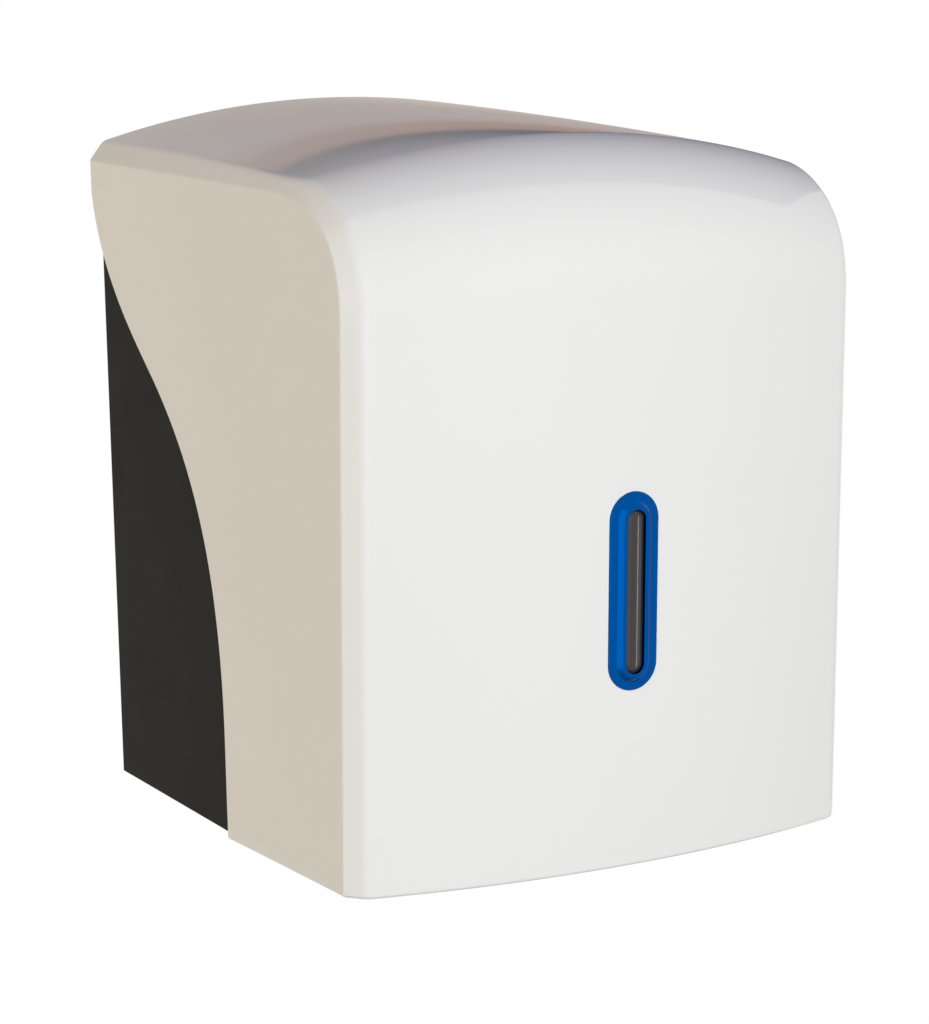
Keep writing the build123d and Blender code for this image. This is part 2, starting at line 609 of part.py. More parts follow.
# ------------------------------------------------------------------ roll tray
with BuildPart() as roll_tray:
    with BuildSketch(roll_section):
        with BuildLine():
            Polyline(
                (THROAT_RADIUS, throat_z),
                (THROAT_FLANGE_RADIUS, throat_z),
                (THROAT_FLANGE_RADIUS, throat_z + THROAT_FLANGE),
                (THROAT_RADIUS + TRAY_WALL, throat_z + THROAT_FLANGE),
                (FLOOR_BORE / 2 - TRAY_WALL, floor_z),
                (tray_radius, floor_z),
                (tray_radius + TRAY_WALL, floor_z + TRAY_RIM_HEIGHT),
                (tray_radius, floor_z + TRAY_RIM_HEIGHT),
                (tray_radius - TRAY_WALL, floor_z + TRAY_WALL),
                (FLOOR_BORE / 2 - TRAY_WALL, floor_z + TRAY_WALL),
                (THROAT_RADIUS, throat_z + THROAT_FLANGE),
                close=True,
            )
        make_face()
    revolve(axis=roll_axis)
    with BuildSketch(roll_plane(floor_z + TRAY_WALL)):
        rib_middle = tray_radius - TRAY_WALL - TRAY_RIB_LENGTH / 2 - 1
        with PolarLocations(rib_middle, TRAY_RIB_COUNT, start_angle=180 / TRAY_RIB_COUNT):
            SlotOverall(TRAY_RIB_LENGTH, TRAY_RIB_WIDTH)
    extrude(amount=TRAY_RIB_HEIGHT)
    with BuildSketch(roll_plane(floor_z)):
        with PolarLocations(TRAY_SCREW_RADIUS, TRAY_SCREW_COUNT, start_angle=45):
            Circle(CASING_SCREW_RADIUS + LENS_PLAY)
    extrude(amount=TRAY_WALL, mode=Mode.SUBTRACT)
    with BuildSketch(roll_plane(throat_z)):
        with PolarLocations(RING_SCREW_RADIUS, RING_SCREW_COUNT):
            Circle(RING_SCREW_SHANK + PIN_FIT)
    extrude(amount=RING_SCREW_BITE + RING_SCREW_SPARE, mode=Mode.SUBTRACT)
roll_tray.part.label = "roll_tray"
export_step(roll_tray.part, "parts/roll_tray.step")

tray_shank = TRAY_WALL + CASING_WALL + TRAY_BOSS_DROP - CASING_SCREW_END
tray_screw = pan_screw(CASING_SCREW_HEAD, CASING_SCREW_HEAD_HEIGHT, CASING_SCREW_RADIUS, tray_shank)
with BuildPart() as tray_screws:
    with Locations(roll_plane(floor_z + TRAY_WALL)):
        with PolarLocations(TRAY_SCREW_RADIUS, TRAY_SCREW_COUNT, start_angle=45):
            add(tray_screw)
tray_screws.part.label = "tray_screws"
export_step(tray_screws.part, "parts/tray_screws.step")


# ------------------------------------------------------------------ swivelling outlet
with BuildPart() as nozzle_grips:
    with BuildSketch(roll_section):
        with BuildLine():
            Polyline(
                (0, cone_top_z),
                (NOZZLE_NECK_RADIUS, cone_top_z),
                (NOZZLE_MOUTH_RADIUS + NOZZLE_GRIP_DEPTH, cone_foot_z),
                (0, cone_foot_z),
                close=True,
            )
        make_face()
    revolve(axis=roll_axis)
    with BuildSketch(roll_plane(cone_top_z)):
        with PolarLocations(0, NOZZLE_GRIP_COUNT):
            Rectangle(
                2 * NOZZLE_NECK_RADIUS, NOZZLE_GRIP_WIDTH, align=(Align.MIN, Align.CENTER)
            )
    extrude(amount=-2 * NOZZLE_CONE_DROP, mode=Mode.INTERSECT)

with BuildPart() as outlet_nozzle:
    add(nozzle_grips.part)
    with BuildSketch(roll_section):
        with BuildLine():
            Polyline(
                (0, nozzle_flange_z),
                (NOZZLE_FLANGE_RADIUS, nozzle_flange_z),
                (NOZZLE_FLANGE_RADIUS, nozzle_flange_z - NOZZLE_FLANGE),
                (NOZZLE_NECK_RADIUS, nozzle_flange_z - NOZZLE_FLANGE),
                (NOZZLE_NECK_RADIUS, cone_top_z),
                (NOZZLE_MOUTH_RADIUS, cone_foot_z),
                (NOZZLE_MOUTH_RADIUS, mouth_z),
                (0, mouth_z),
                close=True,
            )
        make_face()
    revolve(axis=roll_axis)
    with BuildSketch(roll_section):
        with BuildLine():
            Polyline(
                (0, nozzle_flange_z),
                (THROAT_RADIUS - 1, nozzle_flange_z),
                (NOZZLE_NECK_RADIUS - NOZZLE_WALL, cone_top_z),
                (NOZZLE_MOUTH_RADIUS - NOZZLE_WALL, cone_foot_z),
                (NOZZLE_MOUTH_RADIUS - NOZZLE_WALL, mouth_z),
                (0, mouth_z),
                close=True,
            )
        make_face()
    revolve(axis=roll_axis, mode=Mode.SUBTRACT)
outlet_nozzle.part.label = "outlet_nozzle"
export_step(outlet_nozzle.part, "parts/outlet_nozzle.step")

with BuildPart() as tooth_gap:
    with BuildSketch(Plane.YZ):
        with BuildLine():
            half_gap = math.pi * (NOZZLE_MOUTH_RADIUS + TEETH_WALL) / TEETH_COUNT
            Polyline((-half_gap, 0), (half_gap, 0), (0, TEETH_HEIGHT), close=True)
        make_face()
    extrude(amount=2 * NOZZLE_MOUTH_RADIUS)

with BuildPart() as tear_ring:
    with BuildSketch(roll_plane(mouth_z - TEETH_HEIGHT)):
        Circle(NOZZLE_MOUTH_RADIUS + PIN_FIT + TEETH_WALL)
        Circle(NOZZLE_MOUTH_RADIUS + PIN_FIT, mode=Mode.SUBTRACT)
    extrude(amount=TEETH_HEIGHT + TEETH_BAND)
    with Locations(roll_plane(mouth_z - TEETH_HEIGHT)):
        with PolarLocations(0, TEETH_COUNT):
            add(tooth_gap.part, mode=Mode.SUBTRACT)
tear_ring.part.label = "tear_ring"
export_step(tear_ring.part, "parts/tear_ring.step")

with BuildPart() as nozzle_ring:
    with BuildSketch(roll_plane(throat_z)):
        Circle(THROAT_FLANGE_RADIUS)
        Circle(RING_WALL_RADIUS, mode=Mode.SUBTRACT)
    extrude(amount=ring_lip_z - throat_z)
    with BuildSketch(roll_plane(ring_lip_z)):
        Circle(THROAT_FLANGE_RADIUS)
        Circle(RING_LIP_RADIUS, mode=Mode.SUBTRACT)
    extrude(amount=-RING_LIP)
    chamfer(nozzle_ring.edges().group_by(Axis.Z)[0].sort_by(SortBy.RADIUS)[-1], length=RING_LIP / 2)
    with BuildSketch(roll_plane(ring_lip_z - RING_LIP)):
        with PolarLocations(RING_SCREW_RADIUS, RING_SCREW_COUNT):
            Circle(RING_SCREW_SHANK + LENS_PLAY)
    extrude(amount=OVERRUN, mode=Mode.SUBTRACT)
nozzle_ring.part.label = "nozzle_ring"
export_step(nozzle_ring.part, "parts/nozzle_ring.step")

ring_shank = throat_z - ring_lip_z + RING_LIP + RING_SCREW_BITE
ring_screw = pan_screw(RING_SCREW_HEAD, RING_SCREW_HEAD_HEIGHT, RING_SCREW_SHANK, ring_shank)
with BuildPart() as ring_screws:
    with Locations(roll_plane(ring_lip_z - RING_LIP)):
        with PolarLocations(RING_SCREW_RADIUS, RING_SCREW_COUNT):
            with Locations(Location((0, 0, 0), (180, 0, 0))):
                add(ring_screw)
ring_screws.part.label = "ring_screws"
export_step(ring_screws.part, "parts/ring_screws.step")


# ------------------------------------------------------------------ lock
with BuildPart() as lock_housing:
    with BuildSketch(lock_plane(lock_seat)):
        Circle(LOCK_HEAD_RADIUS)
    extrude(amount=LOCK_HEAD)
    chamfer(lock_housing.faces().sort_by(Axis.X)[-1].edges(), length=LOCK_HEAD / 4)
    with BuildSketch(lock_plane(lock_seat)):
        Circle(LOCK_BODY_RADIUS)
        Rectangle(3 * LOCK_BODY_RADIUS, LOCK_FLATS, mode=Mode.INTERSECT)
    extrude(amount=-LOCK_BODY_LENGTH)
    with BuildSketch(lock_plane(lock_seat - LOCK_BODY_LENGTH)):
        Circle(BARREL_RADIUS + BARREL_PLAY)
    extrude(amount=OVERRUN, mode=Mode.SUBTRACT)
lock_housing.part.label = "lock_housing"
export_step(lock_housing.part, "parts/lock_housing.step")

with BuildPart() as lock_nut:
    with BuildSketch(lock_plane(lock_boss - LOCK_NUT)):
        RegularPolygon(LOCK_NUT_ACROSS / 2, 6, major_radius=False)
        Circle(LOCK_BODY_RADIUS + PIN_FIT, mode=Mode.SUBTRACT)
    extrude(amount=LOCK_NUT)
lock_nut.part.label = "lock_nut"
export_step(lock_nut.part, "parts/lock_nut.step")

with BuildPart() as lock_barrel:
    with BuildSketch(lock_plane(cam_seat)):
        Circle(BARREL_RADIUS)
    extrude(amount=lock_seat + LOCK_HEAD - LOCK_SINK - cam_seat)
    with BuildSketch(lock_plane(lock_seat + LOCK_HEAD)):
        Rectangle(KEY_SLOT_LENGTH, KEY_SLOT_WIDTH)
    extrude(amount=-KEY_SLOT_DEPTH, mode=Mode.SUBTRACT)
    with BuildSketch(lock_plane(cam_seat)):
        Rectangle(BARREL_TANG, BARREL_TANG)
    extrude(amount=-CAM_WALL)
    with BuildSketch(lock_plane(cam_seat - CAM_WALL)):
        Circle(CAM_SCREW_RADIUS + PIN_FIT)
    extrude(amount=CAM_SCREW_LENGTH + 0.5, mode=Mode.SUBTRACT)
lock_barrel.part.label = "lock_barrel"
export_step(lock_barrel.part, "parts/lock_barrel.step")

with BuildPart() as lock_cam:
    with BuildSketch(lock_plane(cam_seat - CAM_WALL)):
        SlotCenterPoint((0, 0), (CAM_REACH / 2 - CAM_WIDTH / 4, 0), CAM_WIDTH)
        Rectangle(BARREL_TANG + 2 * PIN_FIT, BARREL_TANG + 2 * PIN_FIT, mode=Mode.SUBTRACT)
    extrude(amount=CAM_WALL)
lock_cam.part.label = "lock_cam"
export_step(lock_cam.part, "parts/lock_cam.step")

cam_face = lock_plane(cam_seat - CAM_WALL)
with BuildPart() as cam_screw:
    with Locations(Plane(cam_face.origin, cam_face.x_dir, -cam_face.z_dir)):
        add(pan_screw(CAM_SCREW_HEAD, CAM_SCREW_HEAD_HEIGHT, CAM_SCREW_RADIUS, CAM_SCREW_LENGTH))
cam_screw.part.label = "cam_screw"
export_step(cam_screw.part, "parts/cam_screw.step")


# ------------------------------------------------------------------ catch for the cam
with BuildPart() as catch_plate:
    with BuildSketch(Plane.YZ.offset(catch_x - CATCH_WIDTH / 2)):
        with BuildLine():
            Polyline(
                (catch_leg_y, catch_z + CATCH_WALL - CATCH_LEG),
                (catch_leg_y, catch_z + CATCH_WALL),
                (-CATCH_OUT, catch_z + CATCH_WALL),
                (-CATCH_OUT, catch_z),
                (catch_leg_y - CATCH_WALL, catch_z),
                (catch_leg_y - CATCH_WALL, catch_z + CATCH_WALL - CATCH_LEG),
                close=True,
            )
        make_face()
    extrude(amount=CATCH_WIDTH)
    with BuildSketch(Plane.XZ):
        with Locations(upper_catch_screw, lower_catch_screw):
            Circle(CASING_SCREW_RADIUS + LENS_PLAY)
    extrude(amount=OVERRUN, mode=Mode.SUBTRACT)
catch_plate.part.label = "catch_plate"
export_step(catch_plate.part, "parts/catch_plate.step")

catch_shank = CATCH_WALL + CATCH_BOSS_DEPTH + CASING_WALL - 2 * CASING_SCREW_END
catch_screw = pan_screw(CASING_SCREW_HEAD, CASING_SCREW_HEAD_HEIGHT, CASING_SCREW_RADIUS, catch_shank)
with BuildPart() as catch_screws:
    for across, up in (upper_catch_screw, lower_catch_screw):
        head = (across, catch_leg_y - CATCH_WALL, up)
        with Locations(Plane(origin=head, x_dir=(1, 0, 0), z_dir=(0, -1, 0))):
            add(catch_screw)
catch_screws.part.label = "catch_screws"
export_step(catch_screws.part, "parts/catch_screws.step")


# ------------------------------------------------------------------ rubber buffers under the cover
crown_axis_z = BASE + BODY_HEIGHT - CROWN_RADIUS - BUFFER_OUT * slope(TOP_FALL)
with BuildPart() as cover_buffers:
    for side in (-1, 1):
        tilt = side * math.asin(BUFFER_ACROSS / CROWN_RADIUS)
        up = Vector(math.sin(tilt), -math.cos(tilt) * slope(TOP_FALL), math.cos(tilt))
        rim = Vector(math.sin(tilt), 0, math.cos(tilt)) * (CROWN_RADIUS - CASING_INSET)
        seat = Vector(0, -BUFFER_OUT, crown_axis_z) + rim
        with BuildSketch(Plane(origin=seat, x_dir=(0, 1, 0), z_dir=up)):
            Circle(BUFFER_RADIUS)
        extrude(amount=CASING_INSET - COVER_WALL - BUFFER_GAP)
cover_buffers.part.label = "cover_buffers"
export_step(cover_buffers.part, "parts/cover_buffers.step")
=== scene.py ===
# %% [markdown]
# # A wall dispenser for centre-pull paper towels
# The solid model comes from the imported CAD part, in metres. This lesson dresses it: the big
# moulded cover is made again as one smooth mesh, small repeated pieces come from Geometry
# Nodes, and every piece gets a material made of nodes.

# %% Load the frame
from math import cos, hypot, pi, radians, sin, sqrt, tan

import bmesh
import bpy
import numpy as np
from mathutils import Matrix, Vector


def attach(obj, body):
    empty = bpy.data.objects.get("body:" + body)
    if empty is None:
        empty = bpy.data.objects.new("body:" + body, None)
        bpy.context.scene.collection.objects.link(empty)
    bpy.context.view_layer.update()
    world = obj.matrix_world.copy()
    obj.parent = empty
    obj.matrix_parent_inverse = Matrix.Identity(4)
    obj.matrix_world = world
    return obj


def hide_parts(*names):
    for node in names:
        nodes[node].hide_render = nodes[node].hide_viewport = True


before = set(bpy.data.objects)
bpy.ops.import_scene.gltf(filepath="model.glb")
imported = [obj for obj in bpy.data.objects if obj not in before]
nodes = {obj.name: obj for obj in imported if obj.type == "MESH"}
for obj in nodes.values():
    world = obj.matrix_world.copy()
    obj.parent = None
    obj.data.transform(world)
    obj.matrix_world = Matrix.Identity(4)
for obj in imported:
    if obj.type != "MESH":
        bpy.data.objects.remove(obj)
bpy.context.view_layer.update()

scene = bpy.context.scene
scene.view_settings.view_transform = "Standard"


def add_object(name, data):
    made = bpy.data.objects.new(name, data)
    scene.collection.objects.link(made)
    return made


# %% [markdown]
# ## Sizes
# Sizes are in millimetres. Heights count up from the cover's lower edge, and "out" counts from
# the wall. The main sizes and the swept edge are the CAD part's own. A few forms are finer
# here: the top falls in a gentle curve, the side panel's corner is longer along the top than
# down the front, the roll-over tightens towards the sides, and the bevel is a little larger.

# %% Sizes of the moulded cover
MM = 0.001
BASE = -165.0
BODY_WIDTH, BODY_DEPTH, BODY_HEIGHT = 250.0, 249.0, 311.5
CROWN_RADIUS, BOW_RADIUS = 420.0, 430.0
SIDE_TAPER, FRONT_LEAN, PANEL_FALL = (radians(a) for a in (1.5, 2.5, 3.0))
TOP_SLOPE, TOP_CURVE = tan(radians(3.12)), 0.000091
ROLL_OVER_RADIUS, SIDE_CHANGE, SIDE_REACH = 57.4, -7.4, 112.0
BEVEL, CORNER_ALONG, CORNER_DOWN = 6.2, 60.0, 45.0
FACET_RISE = tan(radians(52))
COVER_WALL, COVER_GAP = 2.5, 1.0
TURN_OUT, TURN_HEIGHT, TURN_SLOPE = 61.7, 191.1, radians(48)


def turn_handle(reach):
    """A handle on the line through the place where the swept edge turns its curve."""
    return TURN_OUT + reach * sin(TURN_SLOPE), TURN_HEIGHT - reach * cos(TURN_SLOPE)


SWEEP = [
    (0.0, 283.6), (0.0, 239.6), turn_handle(-25.0), (TURN_OUT, TURN_HEIGHT),
    turn_handle(53.5), (121.5, 113.0), (121.5, 42.0),
]
print("cover:", BODY_WIDTH, "x", BODY_DEPTH, "x", BODY_HEIGHT, "mm")

# %% [markdown]
# ## Camera
# The object is looked at from its left, a little above, with a long lens. The camera's axes
# are worked out from two angles and a small roll, and set straight into its matrix.

# %% Camera
CAMERA_PLACE = Vector((-0.5853, -1.1792, 0.1535))
CAMERA_YAW, CAMERA_PITCH, CAMERA_ROLL = 0.5030, 0.1546, -0.0201
LENS_MM, SENSOR_MM = 97.62, 36

ahead = Vector((
    sin(CAMERA_YAW) * cos(CAMERA_PITCH),
    cos(CAMERA_YAW) * cos(CAMERA_PITCH),
    -sin(CAMERA_PITCH),
))
level_right = Vector((cos(CAMERA_YAW), -sin(CAMERA_YAW), 0))
level_up = level_right.cross(ahead)
camera_right = cos(CAMERA_ROLL) * level_right + sin(CAMERA_ROLL) * level_up
camera_up = cos(CAMERA_ROLL) * level_up - sin(CAMERA_ROLL) * level_right
camera_data = bpy.data.cameras.new("studio_camera")
camera_data.lens, camera_data.sensor_width, camera_data.clip_start = LENS_MM, SENSOR_MM, 0.01
camera = add_object("studio_camera", camera_data)
turn = Matrix((camera_right, camera_up, -ahead)).transposed()
camera.matrix_world = Matrix.Translation(CAMERA_PLACE) @ turn.to_4x4()
bpy.context.scene.camera = camera
print("camera lens:", camera_data.lens, "mm")

# %% [markdown]
# ## Lamps
# A white gloss object needs shading more than brightness. A broad key lamp in front makes the
# front bright and lets the top fall off. Neutral lamps fill from the front left and the right,
# and a weak warm one stands for a room's wall on the far left. Only the front left lamp shows
# in reflections, as a bright line along the window's frame; the others would burn white
# patches into the gloss. A tall narrow lamp is for the sight lens alone.

# %% Lamps
AIM = Vector((0.0, -0.12, 0.0))
WARM = (1.0, 0.81, 0.45)


def soft_lamp(name, towards, distance, size, watts, tint=(1, 1, 1)):
    """A round area lamp that stands in a direction from the object and faces it."""
    data = bpy.data.lights.new(name, "AREA")
    data.shape, data.size, data.energy, data.color = "DISK", size, watts, tint
    lamp = add_object(name, data)
    place = AIM + Vector(towards).normalized() * distance
    facing = (AIM - place).to_track_quat("-Z", "Y")
    lamp.matrix_world = Matrix.Translation(place) @ facing.to_matrix().to_4x4()
    return lamp


key_lamp = soft_lamp("key_lamp", (-0.07, -0.96, 0.19), 1.7, 2.6, 34.0)
soft_lamp("front_left_lamp", (-0.64, -0.76, 0.06), 2.4, 3.2, 12.5)
warm_bounce = soft_lamp("warm_bounce", (-0.92, 0.38, -0.02), 2.0, 1.4, 14.3, WARM)
right_fill = soft_lamp("right_fill", (0.99, 0.08, 0.08), 2.4, 2.4, 12.0)
for lamp in (key_lamp, warm_bounce, right_fill):
    lamp.visible_glossy = False
streak_lamp = soft_lamp("streak_lamp", (0.64, -0.74, -0.20), 2.2, 0.32, 10.0)
streak_lamp.data.shape, streak_lamp.data.size_y = "RECTANGLE", 1.8

# %% [markdown]
# ## The world
# The world is white where the camera, a reflection or clear plastic looks at it, but dim as a
# light. World, materials and Geometry Nodes are all trees of nodes, so one helper, which adds
# a node and feeds its inputs, serves the whole lesson.

# %% Helpers for every tree of nodes
def feed(value, socket):
    """Link another node's socket to a socket, or set a plain value on it."""
    if isinstance(value, bpy.types.NodeSocket):
        socket.id_data.links.new(value, socket)
    else:
        socket.default_value = value


def adder(tree):
    """A function that adds a node to one tree, feeds its inputs and returns its outputs.

    Inputs are given in order, or by name with underscores for spaces.
    """
    def add(kind, settings=None, *in_order, **by_name):
        node = tree.nodes.new(kind)
        for key, value in (settings or {}).items():
            setattr(node, key, value)
        for value, socket in zip(in_order, [s for s in node.inputs if s.enabled]):
            feed(value, socket)
        for key, value in by_name.items():
            feed(value, node.inputs[key.replace("_", " ")])
        return node.outputs

    return add


def maths(add, operation, *values):
    return add("ShaderNodeMath", {"operation": operation}, *values)[0]

# %% World
WORLD_TINT, WORLD_STRENGTH = (1.0, 0.98, 0.96, 1), 0.07

world = bpy.data.worlds.new("studio_world")
scene.world = world
world.use_nodes = True
world.node_tree.nodes.clear()
add = adder(world.node_tree)
seen = add("ShaderNodeBackground", Color=(1, 1, 1, 1), Strength=1.0)
lighting = add("ShaderNodeBackground", Color=WORLD_TINT, Strength=WORLD_STRENGTH)
rays = add("ShaderNodeLightPath")
looked_at = maths(add, "MAXIMUM", rays["Is Camera Ray"], rays["Is Glossy Ray"])
looked_at = maths(add, "MAXIMUM", looked_at, rays["Is Transmission Ray"])
choose = add("ShaderNodeMixShader", None, looked_at, lighting[0], seen[0])
add("ShaderNodeOutputWorld", Surface=choose[0])
print("world:", world.name)

# %% [markdown]
# ## Mesh helpers
# Two small helpers make an object, from points and faces or from a bmesh. One shades a mesh
# smooth except at its sharp edges, and one applies modifiers into a plain mesh.

# %% Mesh helpers
SHARP = radians(35)


def new_piece(name, points, faces):
    mesh = bpy.data.meshes.new(name)
    mesh.from_pydata([tuple(p) for p in points], [], faces)
    mesh.update()
    return add_object(name, mesh)


def piece_from(name, bm):
    """Turn a bmesh into an object, and free it."""
    mesh = bpy.data.meshes.new(name)
    bm.to_mesh(mesh)
    bm.free()
    return add_object(name, mesh)


def tidy_mesh(piece, merge=1e-6):
    bm = bmesh.new()
    bm.from_mesh(piece.data)
    bmesh.ops.remove_doubles(bm, verts=bm.verts, dist=merge)
    bmesh.ops.recalc_face_normals(bm, faces=bm.faces)
    open_edges = sum(1 for e in bm.edges if len(e.link_faces) != 2)
    for face in bm.faces:
        face.smooth = True
    for edge in bm.edges:
        edge.smooth = edge.calc_face_angle(0) < SHARP
    bm.to_mesh(piece.data)
    bm.free()
    print(piece.name, len(piece.data.polygons), "faces,", open_edges, "open edges")


def apply_modifiers(piece):
    graph = bpy.context.evaluated_depsgraph_get()
    baked = bpy.data.meshes.new_from_object(piece.evaluated_get(graph), depsgraph=graph)
    old = piece.data
    piece.modifiers.clear()
    piece.data = baked
    bpy.data.meshes.remove(old)
    baked.name = piece.name


# %% [markdown]
# ## The cover's rule
# The cover is one moulding. Its top is a crown, its front is bowed, and a ball of 57 mm
# radius rolls along where the two meet. Each side is a flat panel with a sloping facet round
# it. The mesh is laid out by that rule: rows follow the side panel's outline, and columns run
# from the swept edge across the panel, over the facet and along the crowned sheet. Edges then
# fall where the moulding's do, and the highlight on the gloss stays clean.

# %% The crowned sheet
def unit(v):
    return v / np.linalg.norm(v, axis=-1, keepdims=True)


def ball_radius(xc):
    """The ball has its full radius in the middle and shrinks a little towards the sides."""
    return ROLL_OVER_RADIUS + SIDE_CHANGE * (xc / SIDE_REACH) ** 2


def fallen(out):
    """How far the top has fallen, and how steeply it falls, at a distance from the wall."""
    return out * TOP_SLOPE + TOP_CURVE * out**2, TOP_SLOPE + 2 * TOP_CURVE * out


def crown(x, depth):
    """Height of the crown at the wall, at a depth under it."""
    return BODY_HEIGHT - CROWN_RADIUS + np.sqrt((CROWN_RADIUS - depth) ** 2 - x**2)


def bow(x, depth):
    """How far out the bowed front is at its foot, at a depth behind it."""
    return BODY_DEPTH - BOW_RADIUS + np.sqrt((BOW_RADIUS - depth) ** 2 - x**2)


def ball_centre(xc):
    """Middle of the rolling ball, as (out, height), at each sideways place xc."""
    ball = ball_radius(xc)
    out = bow(xc, ball)
    for _ in range(6):
        fall, slope = fallen(out)
        height = crown(xc, ball * np.hypot(1, slope)) - fall
        out = bow(xc, ball) + height * tan(FRONT_LEAN)
    return out, height


def crown_normal(xc):
    side = xc / (CROWN_RADIUS - ball_radius(xc))
    up = np.sqrt(1 - side**2)
    slope = fallen(ball_centre(xc)[0])[1]
    return unit(np.stack([side, up * slope, up], -1))


def bow_normal(xc):
    side = xc / (BOW_RADIUS - ball_radius(xc))
    out = np.sqrt(1 - side**2)
    return unit(np.stack([side, out, -out * tan(FRONT_LEAN)], -1))


# %% Points on the sheet
def sheet(xc, t, inset):
    """Points (across, out, height), at a depth under the skin.

    t runs from 0 to 1 along the top, to 2 round the roll-over and to 3 down the front.
    """
    xc, t = np.broadcast_arrays(np.asarray(xc, float), np.asarray(t, float))
    ball = (ball_radius(xc) - inset)[..., None]
    centre = np.stack([xc, *ball_centre(xc)], -1)
    n_top, n_front = crown_normal(xc), bow_normal(xc)
    angle = np.arccos(np.clip((n_top * n_front).sum(-1), -1, 1))
    part = np.clip(t - 1, 0, 1)
    of_top, of_front = (np.sin(share * angle) / np.sin(angle) for share in (1 - part, part))
    corner = centre + ball * unit(of_top[..., None] * n_top + of_front[..., None] * n_front)
    top_end, front_end = centre + ball * n_top, centre + ball * n_front
    x_top, x_front = top_end[..., 0], front_end[..., 0]
    out_top = COVER_GAP + (top_end[..., 1] - COVER_GAP) * np.minimum(t, 1)
    top = np.stack([x_top, out_top, crown(x_top, inset) - fallen(out_top)[0]], -1)
    h_front = front_end[..., 2] * (1 - np.maximum(t - 2, 0))
    out_front = bow(x_front, inset) + h_front * tan(FRONT_LEAN)
    front = np.stack([x_front, out_front, h_front], -1)
    return np.where((t < 1)[..., None], top, np.where((t > 2)[..., None], front, corner))


print("sheet, from the wall to the foot:", sheet(0.0, [0, 1, 2, 3], 0.0).round(1).tolist())

# %% [markdown]
# The side panel's outline is straight along the top and down the front, and one curve joins
# the two. The facet starts from that outline and runs inwards at a slope, and the panel's
# inner skin follows it at an even distance.

# %% The side panel's outline
ROWS_TOP, ROWS_CORNER, ROWS_FRONT = 40, 44, 56
FACET_LENGTH = hypot(1, FACET_RISE)


def panel_outline(inset):
    """Outline of the flat side panel: points (along, height), and their outward normals."""
    shrink = inset * (FACET_LENGTH - FACET_RISE)
    half_foot = BODY_WIDTH / 2 - BODY_DEPTH * tan(SIDE_TAPER)
    top, front = crown(BODY_WIDTH / 2, 0) - BEVEL, bow(half_foot, 0) - BEVEL
    tan_fall, tan_lean = tan(PANEL_FALL), tan(FRONT_LEAN)
    corner_u = (front + top * tan_lean) / (1 + tan_fall * tan_lean)
    corner = np.array([corner_u, top - corner_u * tan_fall])
    along_top = np.array([cos(PANEL_FALL), -sin(PANEL_FALL)])
    down_front = np.array([-sin(FRONT_LEAN), -cos(FRONT_LEAN)])
    n_top = np.array([sin(PANEL_FALL), cos(PANEL_FALL)])
    n_front = np.array([cos(FRONT_LEAN), -sin(FRONT_LEAN)])
    bend_start = corner - along_top * CORNER_ALONG
    bend_end = corner + down_front * CORNER_DOWN
    start_u = COVER_GAP / cos(SIDE_TAPER)
    start, foot = np.array([start_u, top - start_u * tan_fall]), np.array([front, 0.0])
    on_top, f, on_front = (
        np.arange(count)[:, None] / rows for count, rows in (
            (ROWS_TOP, ROWS_TOP), (ROWS_CORNER, ROWS_CORNER), (ROWS_FRONT + 1, ROWS_FRONT)))
    bend = (1 - f) ** 2 * bend_start + 2 * f * (1 - f) * corner + f**2 * bend_end
    along = unit((1 - f) * (corner - bend_start) + f * (bend_end - corner))
    n_bend = np.stack([-along[:, 1], along[:, 0]], -1)
    points = np.concatenate([
        start + (bend_start - start) * on_top, bend, bend_end + (foot - bend_end) * on_front])
    normals = np.concatenate([n_top + 0 * on_top, n_bend, n_front + 0 * on_front])
    return points - normals * shrink, normals


def on_panel(flat, depth):
    """Points (across, out, height) from (along, height), at a depth inside the right side."""
    along, height = flat[..., 0], flat[..., 1]
    across = BODY_WIDTH / 2 - sin(SIDE_TAPER) * along - cos(SIDE_TAPER) * depth
    out = cos(SIDE_TAPER) * along - sin(SIDE_TAPER) * depth
    return np.stack([across, out, height + 0 * depth], -1)


def on_slope(flat, normals, m, inset):
    """Points on the facet, at a depth m below the panel."""
    return on_panel(flat + normals * FACET_RISE * m[:, None], inset + m)


# %% [markdown]
# Where the facet meets the crowned sheet is found by Newton's rule, for all rows at once: the
# facet's depth and the sheet's own two coordinates bring the two surfaces to one point. Each
# step is held to a few millimetres, so that no row runs away.

# %% Where the facet meets the sheet
FIRST_DEPTH, FIRST_ACROSS, TRIES = 6.0, 95.0, 60
NUDGES, LARGEST_STEP = (1e-4, 1e-4, 1e-6), np.array((2.0, 4.0, 0.12))


